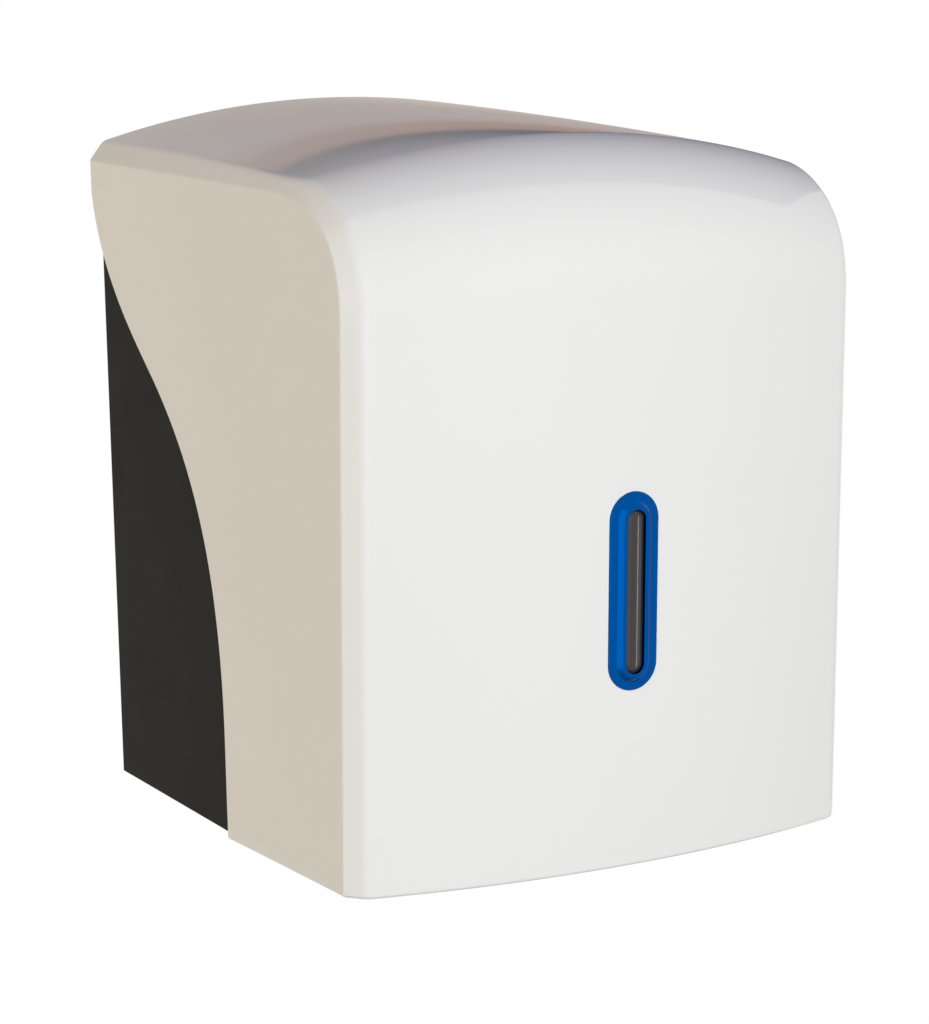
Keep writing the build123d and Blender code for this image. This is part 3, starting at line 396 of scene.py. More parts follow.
def facet_meets_sheet(flat, normals, inset):
    """For each row, how deep the facet runs, and the sheet's (xc, t) where the two meet."""
    rows = len(flat)
    turned = np.arctan2(normals[:, 0], normals[:, 1])
    t = 1 + (turned - turned[0]) / (turned[-1] - turned[0])
    t[:ROWS_TOP] = np.linspace(0, 1, ROWS_TOP, endpoint=False)
    t[ROWS_TOP + ROWS_CORNER:] = np.linspace(2, 3, rows - ROWS_TOP - ROWS_CORNER)
    unknown = np.stack([np.full(rows, FIRST_DEPTH), np.full(rows, FIRST_ACROSS), t], -1)

    def miss(u):
        return on_slope(flat, normals, u[:, 0], inset) - sheet(u[:, 1], u[:, 2], inset)

    for _ in range(TRIES):
        now = miss(unknown)
        slopes = np.empty((rows, 3, 3))
        for k, nudge in enumerate(NUDGES):
            moved = unknown.copy()
            moved[:, k] += nudge
            slopes[:, :, k] = (miss(moved) - now) / nudge
        change = np.linalg.solve(slopes, now[..., None])[..., 0]
        unknown -= np.clip(change, -LARGEST_STEP, LARGEST_STEP)
    reach, xc, t = unknown.T
    print("facet %.1f to %.1f mm deep, meets the sheet to within %.5f mm"
          % (reach.min(), reach.max(), np.abs(miss(unknown)).max()))
    t = np.clip(t, 0.0, 3.0)
    t[0], t[-1] = 0.0, 3.0
    return reach, xc, t


# %% [markdown]
# ## The cover's mesh
# Each row starts on the swept edge and runs over panel, facet and crown to the other side.
# The borders are rounded over a small width, and a column stands close beside each rounding,
# because smooth shading would otherwise smear its slope across the flat faces next to it.

# %% The swept edge
CURVE_POINTS, FOOT_POINTS = 300, 40


def cubic(points, steps):
    a, b, c, d = (np.array(p) for p in points)
    t = np.linspace(0, 1, steps)[:, None]
    return (1 - t) ** 3 * a + 3 * (1 - t) ** 2 * t * b + 3 * (1 - t) * t**2 * c + t**3 * d


def path_lengths(points):
    steps = np.linalg.norm(np.diff(points, axis=0), axis=1)
    return np.concatenate([[0], np.cumsum(steps)])


def swept_edge(fractions):
    """Points (out, height) on the swept edge, from the wall down to the base."""
    upper, lower = cubic(SWEEP[:4], CURVE_POINTS), cubic(SWEEP[3:], CURVE_POINTS)
    foot = np.linspace(SWEEP[-1], (SWEEP[-1][0], 0.0), FOOT_POINTS)
    path = np.concatenate([upper, lower[1:], foot[1:]])
    first = int(np.argmax(path[:, 0] > COVER_GAP))
    share = (COVER_GAP - path[first - 1, 0]) / (path[first, 0] - path[first - 1, 0])
    start = path[first - 1] + share * (path[first] - path[first - 1])
    path = np.concatenate([[start], path[first:]])
    lengths = path_lengths(path)
    at = fractions * lengths[-1]
    return np.stack([np.interp(at, lengths, path[:, k]) for k in (0, 1)], -1)


print("swept edge:", swept_edge(np.linspace(0, 1, 4)).round(1).tolist())

# %% Rows and columns
SIDE_BORDER, FRONT_BORDER, BESIDE = 0.62, 2.0, 0.8
SHEET_BORDER = FRONT_BORDER * 0.88
PANEL_COLUMNS, SHEET_COLUMNS = 14, 30


def rounding(a, corner, b, segments):
    """Points between a and b, on the curve that leaves both towards the corner."""
    t = (np.arange(1, segments) / segments)[:, None, None]
    return list((1 - t) ** 2 * a + 2 * (1 - t) * t * corner + t**2 * b)


def cover_layer(inset):
    """Grid of points (row, column, 3) over the cover's skin, at a depth under it."""
    flat, normals = panel_outline(inset)
    lengths = path_lengths(flat)
    sweep = swept_edge(lengths / lengths[-1])
    edge_along = (sweep[:, 0] + sin(SIDE_TAPER) * inset) / cos(SIDE_TAPER)
    edge = np.stack([edge_along, sweep[:, 1]], -1)
    reach, xc, t = facet_meets_sheet(flat, normals, inset)
    depth = np.full(len(flat), inset)

    def on_facet(m):
        return on_slope(flat, normals, m, inset)

    near_border = flat - normals * (SIDE_BORDER + BESIDE)
    across_panel = np.linspace(0, 1, PANEL_COLUMNS)
    columns = [on_panel(edge + (near_border - edge) * f, depth) for f in across_panel]
    side_start = on_panel(flat - normals * SIDE_BORDER, depth)
    side_end = on_facet(np.full(len(flat), SIDE_BORDER / FACET_LENGTH))
    columns += [side_start, *rounding(side_start, on_panel(flat, depth), side_end, 3), side_end]
    front_start = reach - FRONT_BORDER / FACET_LENGTH
    first = (SIDE_BORDER + BESIDE) / FACET_LENGTH
    last = front_start - BESIDE / FACET_LENGTH
    columns += [on_facet(first + (last - first) * f) for f in (0.0, 0.5, 1.0)]
    front_start, front_end = on_facet(front_start), sheet(xc - SHEET_BORDER, t, inset)
    columns += [front_start, *rounding(front_start, on_facet(reach), front_end, 4), front_end]
    flat_xc = xc - SHEET_BORDER - BESIDE
    columns += [sheet(flat_xc * f, t, inset) for f in np.linspace(1, 0, SHEET_COLUMNS)]
    half = np.stack(columns, 1)
    half[0, :, 1] = COVER_GAP
    half[-1, :, 2] = 0.0
    mirrored = half[:, -2::-1] * np.array([-1, 1, 1])
    return np.concatenate([half, mirrored], 1)


outer, inner = cover_layer(0.0), cover_layer(COVER_WALL)
ROWS, COLUMNS = outer.shape[:2]
print("cover grid:", ROWS, "rows of", COLUMNS, "columns, each skin")

# %% [markdown]
# The outer and the inner skin are joined round their rims, so the moulding has its real
# 2.5 mm wall. A Bevel modifier, limited by edge weight, rounds the rims: wide along the base,
# narrow along the swept edges, as a mould would leave them.

# %% Join the skins
RIM_ROUNDING, NARROW, WIDE = 1.6, 0.25, 1.0


def to_scene(points):
    return np.stack([points[..., 0], -points[..., 1], BASE + points[..., 2]], -1) * MM


def grid_faces(rows, columns, first=0):
    at = np.arange(rows * columns).reshape(rows, columns) + first
    quads = np.stack([at[:-1, :-1], at[:-1, 1:], at[1:, 1:], at[1:, :-1]], -1)
    return quads.reshape(-1, 4).tolist()


at = np.arange(ROWS * COLUMNS).reshape(ROWS, COLUMNS)
at_inner = at + ROWS * COLUMNS
faces = grid_faces(ROWS, COLUMNS) + grid_faces(ROWS, COLUMNS, ROWS * COLUMNS)
for pick in (np.s_[0], np.s_[-1], np.s_[:, 0], np.s_[:, -1]):
    run, back = at[pick], at_inner[pick]
    faces += np.stack([run[:-1], run[1:], back[1:], back[:-1]], -1).tolist()
skin_points = np.concatenate([to_scene(skin).reshape(-1, 3) for skin in (outer, inner)])
cover = new_piece("cover_shell", skin_points, faces)
print("joined skins:", len(faces), "faces")

# %% Round the rims
weights = {}
narrow_runs = (at[0], at[:, 0], at[:, -1], at_inner[:, 0], at_inner[:, -1])
for run, weight in [(at[-1], WIDE)] + [(run, NARROW) for run in narrow_runs]:
    weights |= {frozenset(pair): weight for pair in zip(run[:-1], run[1:])}
edge_weights = cover.data.attributes.new("bevel_weight_edge", "FLOAT", "EDGE")
for edge in cover.data.edges:
    edge_weights.data[edge.index].value = weights.get(frozenset(edge.vertices), 0.0)
tidy_mesh(cover)
rims = cover.modifiers.new("rims", "BEVEL")
rims.limit_method, rims.use_clamp_overlap = "WEIGHT", False
rims.width, rims.segments = RIM_ROUNDING * MM, 4
apply_modifiers(cover)
print("cover with rounded rims:", len(cover.data.polygons), "faces")

# %% [markdown]
# The cover's bosses and holes are simple forms, added and cut with exact booleans, which
# leave one closed mesh. Each is a prism over a flat outline, drawn in its own place: on the
# hinge's axis, the lock's axis or the sloping front.

# %% Places on the cover
WINDOW_HEIGHT, LOCK_OUT, LOCK_HEIGHT, HINGE_OUT, HINGE_HEIGHT = 114.7, 50.0, 250.0, 217.0, 12.0


def frame_matrix(origin, x_axis, z_axis):
    x_axis, z_axis = Vector(x_axis).normalized(), Vector(z_axis).normalized()
    turn = Matrix((x_axis, z_axis.cross(x_axis), z_axis)).transposed()
    return Matrix.Translation(Vector(origin) * MM) @ turn.to_4x4() @ Matrix.Scale(MM, 4)


window_place = frame_matrix(
    (0, -BODY_DEPTH - WINDOW_HEIGHT * tan(FRONT_LEAN), BASE + WINDOW_HEIGHT),
    (1, 0, 0), (0, -cos(FRONT_LEAN), -sin(FRONT_LEAN)),
)
lock_place = frame_matrix(
    (BODY_WIDTH / 2 - LOCK_OUT * tan(SIDE_TAPER), -LOCK_OUT, BASE + LOCK_HEIGHT),
    (0, 0, -1), (cos(SIDE_TAPER), -sin(SIDE_TAPER), 0),
)
hinge_origin = (0, -HINGE_OUT, BASE + HINGE_HEIGHT)
hinge_places = [frame_matrix(hinge_origin, (0, 1, 0), (side, 0, 0)) for side in (-1, 1)]
in_place = Matrix.Identity(4)
print("window at", (window_place.translation / MM).to_tuple(1), "mm")

# %% Outlines and prisms
SLOT_SIDE, SLOT_STEPS = 29.4, 32


def round_outline(radius, steps=64, flats=None):
    turns = [2 * pi * k / steps for k in range(steps)]
    ring = [(radius * cos(a), radius * sin(a)) for a in turns]
    return ring if flats is None else [(x, max(-flats, min(flats, y))) for x, y in ring]


def slot_outline(half_width):
    """Outline of an upright slot whose round ends are centred at +SLOT_SIDE and -SLOT_SIDE."""
    turns = [pi * k / SLOT_STEPS for k in range(SLOT_STEPS + 1)]
    upper = [(cos(a) * half_width, SLOT_SIDE + sin(a) * half_width) for a in turns]
    return upper + [(-x, -y) for x, y in upper]


def prism(bm, outline, low, high, place, up=0.0):
    """Add a closed prism over a flat outline, between two depths of a place."""
    ends = []
    for depth in (low, high):
        ends.append([bm.verts.new(place @ Vector((x, y + up, depth))) for x, y in outline])
    bm.faces.new(ends[0][::-1])
    bm.faces.new(ends[1])
    for k in range(len(outline)):
        n = (k + 1) % len(outline)
        bm.faces.new((ends[0][k], ends[0][n], ends[1][n], ends[1][k]))


def combine(piece, operation, forms):
    bm = bmesh.new()
    for form in forms:
        prism(bm, *form)
    tool = piece_from("forms", bm)
    joint = piece.modifiers.new("forms", "BOOLEAN")
    joint.operation, joint.solver, joint.object = operation, "EXACT", tool
    apply_modifiers(piece)
    bpy.data.objects.remove(tool)
    print(piece.name, operation.lower(), len(forms), "forms:", len(piece.data.polygons), "faces")


# %% Bosses and holes
HINGE_BOSS, BOSS_START, BOSS_END = 7.5, 107.5, 118.0
HINGE_BORE, BORE_START, BORE_END = 2.55, 90.0, 116.82
LOCK_BOSS, LOCK_POCKET, LOCK_HOLE, LOCK_FLATS = 15.0, 11.1, 8.1, 7.1
LOCK_BOSS_DEPTH, LOCK_POCKET_DEPTH, BEZEL_DEPTH, POST_BOSS_DEPTH = 6.2, 2.2, 0.8, 4.7
POST_BOSS, POST_HOLE, POST_OFFSET, BEZEL_HALF, OPENING_HALF = 4.0, 2.0, 37.7, 11.4, 5.7
HALF_WALL, PAST, PAST_BACK, PAST_FRONT = COVER_WALL / 2, 30.0, 10.0, 20.0
ROUND_STEPS, SMALL_STEPS = 96, 32

posts = (POST_OFFSET, -POST_OFFSET)
boss, bore = round_outline(HINGE_BOSS), round_outline(HINGE_BORE, SMALL_STEPS)
post_boss, post_hole = round_outline(POST_BOSS), round_outline(POST_HOLE, SMALL_STEPS)
combine(cover, "UNION", [
    *((boss, BOSS_START, BOSS_END, place) for place in hinge_places),
    (round_outline(LOCK_BOSS, ROUND_STEPS), -LOCK_BOSS_DEPTH, -HALF_WALL, lock_place),
    *((post_boss, -POST_BOSS_DEPTH, -HALF_WALL, window_place, up) for up in posts),
])
combine(cover, "DIFFERENCE", [
    *((bore, BORE_START, BORE_END, place) for place in hinge_places),
    (round_outline(LOCK_POCKET, ROUND_STEPS), -LOCK_POCKET_DEPTH, PAST, lock_place),
    (slot_outline(BEZEL_HALF), -BEZEL_DEPTH, PAST, window_place),
])
combine(cover, "DIFFERENCE", [
    (round_outline(LOCK_HOLE, ROUND_STEPS, LOCK_FLATS), -PAST, PAST_FRONT, lock_place),
    (slot_outline(OPENING_HALF), -PAST_BACK, PAST_FRONT, window_place),
    *((post_hole, -PAST_BACK, PAST_FRONT, window_place, up) for up in posts),
])
tidy_mesh(cover)
weighted = cover.modifiers.new("flat faces stay flat", "WEIGHTED_NORMAL")
weighted.keep_sharp, weighted.weight = True, 80
apply_modifiers(cover)
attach(cover, "cover")
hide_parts("front_cover")

# %% [markdown]
# ## Geometry Nodes: a rim swept along a slot
# The blue frame round the sight window is one section carried along a slot-shaped path. That
# is what Curve to Mesh does, so the section is drawn once, as a flat curve, and the tree has
# the slot's length and width as named inputs. It works in millimetres, and the finished mesh
# is scaled and set on the cover's front afterwards. Each tree ends in Realize Instances,
# because an export keeps only real meshes, and in Set Material.

# %% A tree with named inputs, and a tree's result as a plain mesh
GEOMETRY, MERGE = [("Geometry", "Geometry")], 0.002


def new_group(kind, name, inputs, outputs):
    """A node group with named sockets: its tree, its adder, its inputs and its results."""
    tree = bpy.data.node_groups.new(name, kind)
    for in_out, sockets in (("OUTPUT", outputs), ("INPUT", inputs)):
        for label, of_kind, *default in sockets:
            socket = tree.interface.new_socket(
                label, in_out=in_out, socket_type="NodeSocket" + of_kind)
            if default:
                socket.default_value = default[0]
    given, results = tree.nodes.new("NodeGroupInput"), tree.nodes.new("NodeGroupOutput")
    print("group:", name, "inputs:", [label for label, *_ in inputs])
    return tree, adder(tree), given.outputs, results.inputs


def finish_tree(add, given, results, geometry):
    joined = add("GeometryNodeMergeByDistance", Geometry=geometry, Distance=MERGE)
    real = add("GeometryNodeRealizeInstances", Geometry=joined[0])
    painted = add("GeometryNodeSetMaterial", Geometry=real[0], Material=given["Finish"])
    feed(painted[0], results[0])


def grow(piece, tree, **values):
    """Set a tree's inputs by identifier, take its result as a plain mesh, drop the modifier."""
    growth = piece.modifiers.new(tree.name, "NODES")
    growth.node_group = tree
    for item in tree.interface.items_tree:
        if item.in_out == "INPUT" and item.name.replace(" ", "_") in values:
            growth[item.identifier] = values[item.name.replace(" ", "_")]
    apply_modifiers(piece)

# %% A section along a slot
ALMOST_HALF, ROUND_POINTS = 0.49999, 48

sweep_tree, add, given, results = new_group("GeometryNodeTree", "rim_along_slot", [
    ("Length", "Float"), ("Width", "Float"), ("Steps", "Int"), ("Section", "Object"),
    ("Finish", "Material"),
], GEOMETRY)
path = add("GeometryNodeCurvePrimitiveQuadrilateral",
           Width=given["Width"], Height=given["Length"])
half = maths(add, "MULTIPLY", given["Width"], ALMOST_HALF)
rounded = add("GeometryNodeFilletCurve", {"mode": "POLY"},
              Curve=path[0], Count=ROUND_POINTS, Radius=half)
even = add("GeometryNodeResampleCurve", Curve=rounded[0], Count=given["Steps"])
upright = add("GeometryNodeSetCurveNormal", {"mode": "Z_UP"}, Curve=even[0])
section = add("GeometryNodeObjectInfo", Object=given["Section"])["Geometry"]
swept = add("GeometryNodeCurveToMesh", Curve=upright[0], Profile_Curve=section)
finish_tree(add, given, results, swept[0])

# %% [markdown]
# ## Geometry Nodes: the same piece round an axis or along a line
# Screws and teeth repeat. One tree sets a piece round an axis, turned to face it, and one
# sets it along a line. The copies are made real before the merge, so a ring's segments join.

# %% Round an axis, along a line
def repeat_on(points, add, given, results, **turned):
    copies = add("GeometryNodeInstanceOnPoints",
                 Points=points, Instance=given["Geometry"], **turned)
    real = add("GeometryNodeRealizeInstances", Geometry=copies[0])
    finish_tree(add, given, results, real[0])


round_tree, add, given, results = new_group("GeometryNodeTree", "repeat_round_axis", GEOMETRY + [
    ("Count", "Int"), ("Radius", "Float"), ("First Angle", "Float"), ("Finish", "Material"),
], GEOMETRY)
spots = add("GeometryNodePoints", Count=given["Count"])
index = add("GeometryNodeInputIndex")
part_turn = maths(add, "DIVIDE", 2 * pi, given["Count"])
angle = maths(add, "MULTIPLY_ADD", index[0], part_turn, given["First Angle"])
turn = add("ShaderNodeCombineXYZ", Z=angle)
reach = add("ShaderNodeCombineXYZ", X=given["Radius"])
spin = add("ShaderNodeVectorRotate", {"rotation_type": "Z_AXIS"}, Vector=reach[0], Angle=angle)
placed = add("GeometryNodeSetPosition", Geometry=spots[0], Position=spin[0])
repeat_on(placed[0], add, given, results, Rotation=turn[0])

line_tree, add, given, results = new_group("GeometryNodeTree", "repeat_in_line", GEOMETRY + [
    ("Count", "Int"), ("Start", "Vector"), ("Step", "Vector"), ("Finish", "Material"),
], GEOMETRY)
line = add("GeometryNodeMeshLine", {"mode": "OFFSET"},
           Count=given["Count"], Start_Location=given["Start"], Offset=given["Step"])
repeat_on(line[0], add, given, results)

# %% [markdown]
# ## Shared surface effects
# Two effects serve all finishes. Moulded plastic has a fine grain from the mould and slow
# drifts of tone and gloss from the way it flowed. Rolled or plated metal has fine streaks.
# Each is one shader node group, which puts out only what varies over the surface: a colour,
# a roughness and a height for Bump.

# %% Helpers for a shader group
VARYING = [("Color", "Color"), ("Roughness", "Float"), ("Height", "Float")]


def map_range(add, source, low, high, from_low=0.3, from_high=0.7):
    """Stretch the middle values, where a noise mostly keeps, over a range."""
    return add("ShaderNodeMapRange", None, source, from_low, from_high, low, high)[0]


def mix_colour(add, factor, first, second):
    mixed = add("ShaderNodeMix", {"data_type": "RGBA"}, factor, first, second)
    return next(s for s in mixed if s.enabled)


def noise(add, where, **settings):
    return add("ShaderNodeTexNoise", Vector=where, **settings)["Fac"]


def put_out(add, given, results, colour, gloss_noise, height):
    """Feed a group's results; its gloss is a noise stretched between two of its inputs."""
    gloss = map_range(add, gloss_noise, given["Gloss Low"], given["Gloss High"])
    for value, socket in zip((colour, gloss, height), results):
        feed(value, socket)

# %% Group: moulded plastic
BLACK = (0.0, 0.0, 0.0, 1)

moulded, add, given, results = new_group("ShaderNodeTree", "moulded_plastic", [
    ("Tone", "Color", (0.8, 0.8, 0.8, 1)), ("Second Tone", "Color", (0.78, 0.78, 0.78, 1)),
    ("Flow Scale", "Float", 9.0), ("Grain Scale", "Float", 1400.0), ("Speckle", "Float", 0.0),
    ("Gloss Low", "Float", 0.2), ("Gloss High", "Float", 0.3),
], VARYING)
where = add("ShaderNodeTexCoord")["Object"]
flow = noise(add, where, Scale=given["Flow Scale"], Detail=3.0, Roughness=0.5, Distortion=0.6)
grain = noise(add, where, Scale=given["Grain Scale"], Detail=2.0, Roughness=0.55)
handling = noise(add, where, Scale=38.0, Detail=4.0, Roughness=0.62)
tone = mix_colour(add, map_range(add, flow, 0.0, 1.0), given["Tone"], given["Second Tone"])
speckled = mix_colour(add, map_range(add, grain, 0.0, given["Speckle"]), tone, BLACK)
put_out(add, given, results, speckled, handling, grain)

# %% Group: streaked metal
streaked, add, given, results = new_group("ShaderNodeTree", "streaked_metal", [
    ("Tone", "Color", (0.6, 0.6, 0.6, 1)), ("Dull Tone", "Color", (0.5, 0.5, 0.5, 1)),
    ("Streak Scale", "Float", 500.0), ("Along", "Vector", (1, 1, 0.04)),
    ("Gloss Low", "Float", 0.2), ("Gloss High", "Float", 0.4),
], VARYING)
where = add("ShaderNodeTexCoord")["Object"]
stretched = add("ShaderNodeVectorMath", {"operation": "MULTIPLY"}, where, given["Along"])
streaks = noise(add, stretched[0], Scale=given["Streak Scale"], Detail=3.0)
cloud = noise(add, where, Scale=90.0, Detail=4.0, Roughness=0.6)
tone = mix_colour(add, map_range(add, cloud, 0.0, 1.0), given["Tone"], given["Dull Tone"])
put_out(add, given, results, tone, streaks, streaks)

# %% [markdown]
# ## Finishes
# Every finish is a Principled BSDF with one of the groups in front of it. What is the same
# all over a piece, such as metalness, is set on the shader itself. A bump is a strength and a
# real height in metres: the matte casing has a grain of a few hundredths of a millimetre, and
# the gloss cover only a faint, wide waviness.

# %% Kinds of finish
FAINT_WAVES, FINE_STREAKS = (0.02, 0.00005), (0.15, 0.00001)


def finish(name, group, settings, bump, **shader):
    material = bpy.data.materials.new(name)
    material.use_nodes = True
    add = adder(material.node_tree)
    surface = add("ShaderNodeGroup", {"node_tree": group}, **settings)
    relief = add("ShaderNodeBump", Height=surface["Height"], Strength=bump[0], Distance=bump[1])
    shader |= {
        "Base Color": surface["Color"], "Roughness": surface["Roughness"], "Normal": relief[0]}
    for label, value in shader.items():
        feed(value, material.node_tree.nodes["Principled BSDF"].inputs[label.replace("_", " ")])
    return material


def plastic(name, tone, second, gloss, grain, bump, speckle=0.0, flow=9.0, **shader):
    return finish(name, moulded, {
        "Tone": (*tone, 1), "Second Tone": (*second, 1), "Gloss Low": gloss[0],
        "Gloss High": gloss[1], "Grain Scale": grain, "Speckle": speckle, "Flow Scale": flow,
    }, bump, **shader)


def metal(name, tone, dull, gloss, streak=500.0, along=(1, 1, 0.04)):
    return finish(name, streaked, {
        "Tone": (*tone, 1), "Dull Tone": (*dull, 1), "Gloss Low": gloss[0],
        "Gloss High": gloss[1], "Streak Scale": streak, "Along": along,
    }, FINE_STREAKS, Metallic=1.0)


# %% Make the finishes
white_gloss = plastic(
    "white_gloss", (0.80, 0.80, 0.795), (0.79, 0.79, 0.785), (0.03, 0.06), 60.0, FAINT_WAVES)
charcoal_grain = plastic(
    "charcoal_grain", (0.0132, 0.0117, 0.0092), (0.0125, 0.0111, 0.0088), (0.5, 0.56),
    1500.0, (0.5, 0.00005), 0.2, Specular_IOR_Level=0.05)
blue_gloss = plastic(
    "blue_gloss", (0.0, 0.083, 0.345), (0.0, 0.078, 0.325), (0.10, 0.16),
    90.0, FAINT_WAVES, flow=30.0, Metallic=1.0)
smoked = plastic(
    "smoked_clear", (0.045, 0.037, 0.033), (0.041, 0.036, 0.033), (0.10, 0.15),
    70.0, FAINT_WAVES, flow=40.0, Transmission_Weight=0.3, IOR=1.49, Specular_IOR_Level=0.35)
grey_satin = plastic(
    "grey_satin", (0.13, 0.13, 0.128), (0.115, 0.115, 0.113), (0.4, 0.52),
    1200.0, (0.4, 0.00004), 0.15)
nozzle_satin = plastic(
    "nozzle_satin", (0.05, 0.05, 0.05), (0.043, 0.043, 0.043), (0.34, 0.46),
    1200.0, (0.35, 0.00004), 0.15)
soft_rubber = plastic(
    "soft_rubber", (0.02, 0.02, 0.02), (0.026, 0.026, 0.025), (0.7, 0.85),
    2200.0, (0.6, 0.00005), 0.3)
zinc = metal("zinc_plate", (0.60, 0.60, 0.575), (0.50, 0.50, 0.48), (0.28, 0.42))
stainless = metal(
    "stainless", (0.62, 0.62, 0.61), (0.56, 0.56, 0.55), (0.16, 0.3), 700.0, (0.05, 0.05, 1))
chrome = metal("chrome_plate", (0.74, 0.74, 0.75), (0.68, 0.68, 0.69), (0.04, 0.1), 300.0)


def dress(piece, material):
    """Put one finish on every slot of a piece."""
    if not piece.material_slots:
        piece.data.materials.append(material)
    for slot in piece.material_slots:
        slot.material = material


def settle(piece, place, material):
    """Set a finished mesh in its place, tidy it and put its finish on."""
    piece.data.transform(place)
    tidy_mesh(piece)
    dress(piece, material)


dress(cover, white_gloss)
print("finishes:", [m.name for m in (white_gloss, charcoal_grain, blue_gloss, smoked, zinc)])

# %% [markdown]
# ## The frame of the sight window
# The frame's section, from outside to inside: a rounded outer edge, a flat ring, a 45 degree
# step up to a narrow rim, then down beside the lens to a skirt that goes through the cover.
# Two posts behind it take the retainer's screws.

# %% The frame's section
PATH_HALF, PATH_STEPS = 8.0, 224
POST_RADIUS, POST_START, POST_END = 1.9, -4.7, -0.4
PILOT_RADIUS, PILOT_START, PILOT_END, PILOT_STEPS = 0.92, -8.0, -1.4, 24
SECTION_POINTS = [
    (11.3, -0.8), (11.3, 0.8), (7.8, 0.8), (6.0, 2.6),
    (4.2, 2.6), (4.2, -3.2), (5.6, -3.2), (5.6, -0.8),
]
SECTION_RADII = [0, 0.6, 0.25, 0.45, 0.45, 0, 0, 0]


def soften(points, radii, steps=4):
    """Round the corners of a closed outline, each with its own radius."""
    rounded = []
    points = [Vector(p) for p in points]
    for k, (corner, radius) in enumerate(zip(points, radii)):
        if radius == 0:
            rounded.append(corner)
            continue
        before, after = points[k - 1] - corner, points[(k + 1) % len(points)] - corner
        a, b = corner + before.normalized() * radius, corner + after.normalized() * radius
        for t in (s / steps for s in range(steps + 1)):
            rounded.append(a.lerp(corner, t).lerp(corner.lerp(b, t), t))
    return rounded


frame_section = soften(SECTION_POINTS, SECTION_RADII)
drawing = bpy.data.curves.new("frame_section", "CURVE")
spline = drawing.splines.new("POLY")
spline.points.add(len(frame_section) - 1)
for point, (half_width, proud) in zip(spline.points, frame_section):
    point.co = (half_width - PATH_HALF, -proud, 0, 1)
spline.use_cyclic_u = True
section_guide = add_object("frame_section", drawing)
print("section:", len(frame_section), "points")

# %% Window frame
window_frame = new_piece("window_frame", [], [])
grow(window_frame, sweep_tree, Length=2 * (SLOT_SIDE + PATH_HALF), Width=2 * PATH_HALF,
     Steps=PATH_STEPS, Section=section_guide, Finish=blue_gloss)
bpy.data.objects.remove(section_guide)
tidy_mesh(window_frame, merge=0.001)
post = round_outline(POST_RADIUS, SMALL_STEPS)
pilot = round_outline(PILOT_RADIUS, PILOT_STEPS)
combine(window_frame, "UNION", [(post, POST_START, POST_END, in_place, up) for up in posts])
combine(window_frame, "DIFFERENCE", [
    (pilot, PILOT_START, PILOT_END, in_place, up) for up in posts])
settle(window_frame, window_place, blue_gloss)
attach(window_frame, "cover")
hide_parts("window_bezel")

# %% [markdown]
# ## The lens
# The lens is one smoked moulding: a flange behind the frame, a body that fills the frame's
# slot, and a face domed across its width. The dome is what catches an upright streak of
# light. It is laid out ring by ring, each a narrower slot set higher, up to the line along
# the middle. The tall lamp is linked to this one piece, so it lights nothing else.

# %% Lens
LENS_HALF, FLANGE_HALF = 4.1, 6.4
LENS_BACK, FLANGE_FACE, DOME_START, DOME_RISE, DOME_RINGS = -4.7, -3.2, 0.9, 1.5, 11
DOME_RADIUS = (LENS_HALF**2 + DOME_RISE**2) / (2 * DOME_RISE)
NOTCH_RADIUS, NOTCH_START, NOTCH_FACE, NOTCH_STEPS = 4.1, -6.0, -2.9, 48

dome = [
    (half_width, DOME_START + sqrt(DOME_RADIUS**2 - half_width**2) - DOME_RADIUS + DOME_RISE)
    for half_width in np.linspace(LENS_HALF, 0, DOME_RINGS)
]
rings = [(FLANGE_HALF, LENS_BACK), (FLANGE_HALF, FLANGE_FACE), (LENS_HALF, FLANGE_FACE)] + dome
size = len(slot_outline(1.0))
lens_points = [(x, y, depth) for half_width, depth in rings for x, y in slot_outline(half_width)]
lens_faces = grid_faces(len(rings), size) + [list(range(size))[::-1]]
for k in range(len(rings) - 1):
    lens_faces.append(((k + 1) * size - 1, k * size, (k + 1) * size, (k + 2) * size - 1))
sight_lens = new_piece("sight_lens", lens_points, lens_faces)
tidy_mesh(sight_lens, merge=0.001)
notch = round_outline(NOTCH_RADIUS, NOTCH_STEPS)
combine(sight_lens, "DIFFERENCE", [
    (notch, NOTCH_START, NOTCH_FACE, in_place, up) for up in posts])
settle(sight_lens, window_place, smoked)
lens_only = bpy.data.collections.new("lens_only")
lens_only.objects.link(sight_lens)
streak_lamp.light_linking.receiver_collection = lens_only
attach(sight_lens, "cover")
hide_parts("window_lens")

# %% [markdown]
# ## Screws
# All the screws are pan heads with a cross recess. One function turns a screw from its
# outline, rolled threads and all, and cuts the recess. The trees set each group in its place.

# %% One screw
HEAD_EDGE, RECESS_FLOOR, CROSS_ARM, CROSS_HALF = 0.35, 0.4, 0.55, 0.15
PITCH, ROOT, TIP_LENGTH, TIP_RADIUS = 0.7, 0.82, 0.8, 0.35
THREAD_START, CREST, CREST_END, THREAD_END = 0.6, 0.3, 0.45, 0.75


def turned(name, profile, steps=24):
    """A closed solid turned round Z from (radius, height) points that start and end on it."""
    bm = bmesh.new()
    rings = []
    for radius, height in profile:
        around = round_outline(radius, steps) if radius > 1e-6 else [(0, 0)]
        rings.append([bm.verts.new((x, y, height)) for x, y in around])
    for low, high in zip(rings[:-1], rings[1:]):
        for k in range(steps):
            n = (k + 1) % steps
            corners = [
                low[k % len(low)], low[n % len(low)], high[n % len(high)], high[k % len(high)]]
            bm.faces.new(list(dict.fromkeys(corners)))
    bmesh.ops.recalc_face_normals(bm, faces=bm.faces)
    return piece_from(name, bm)


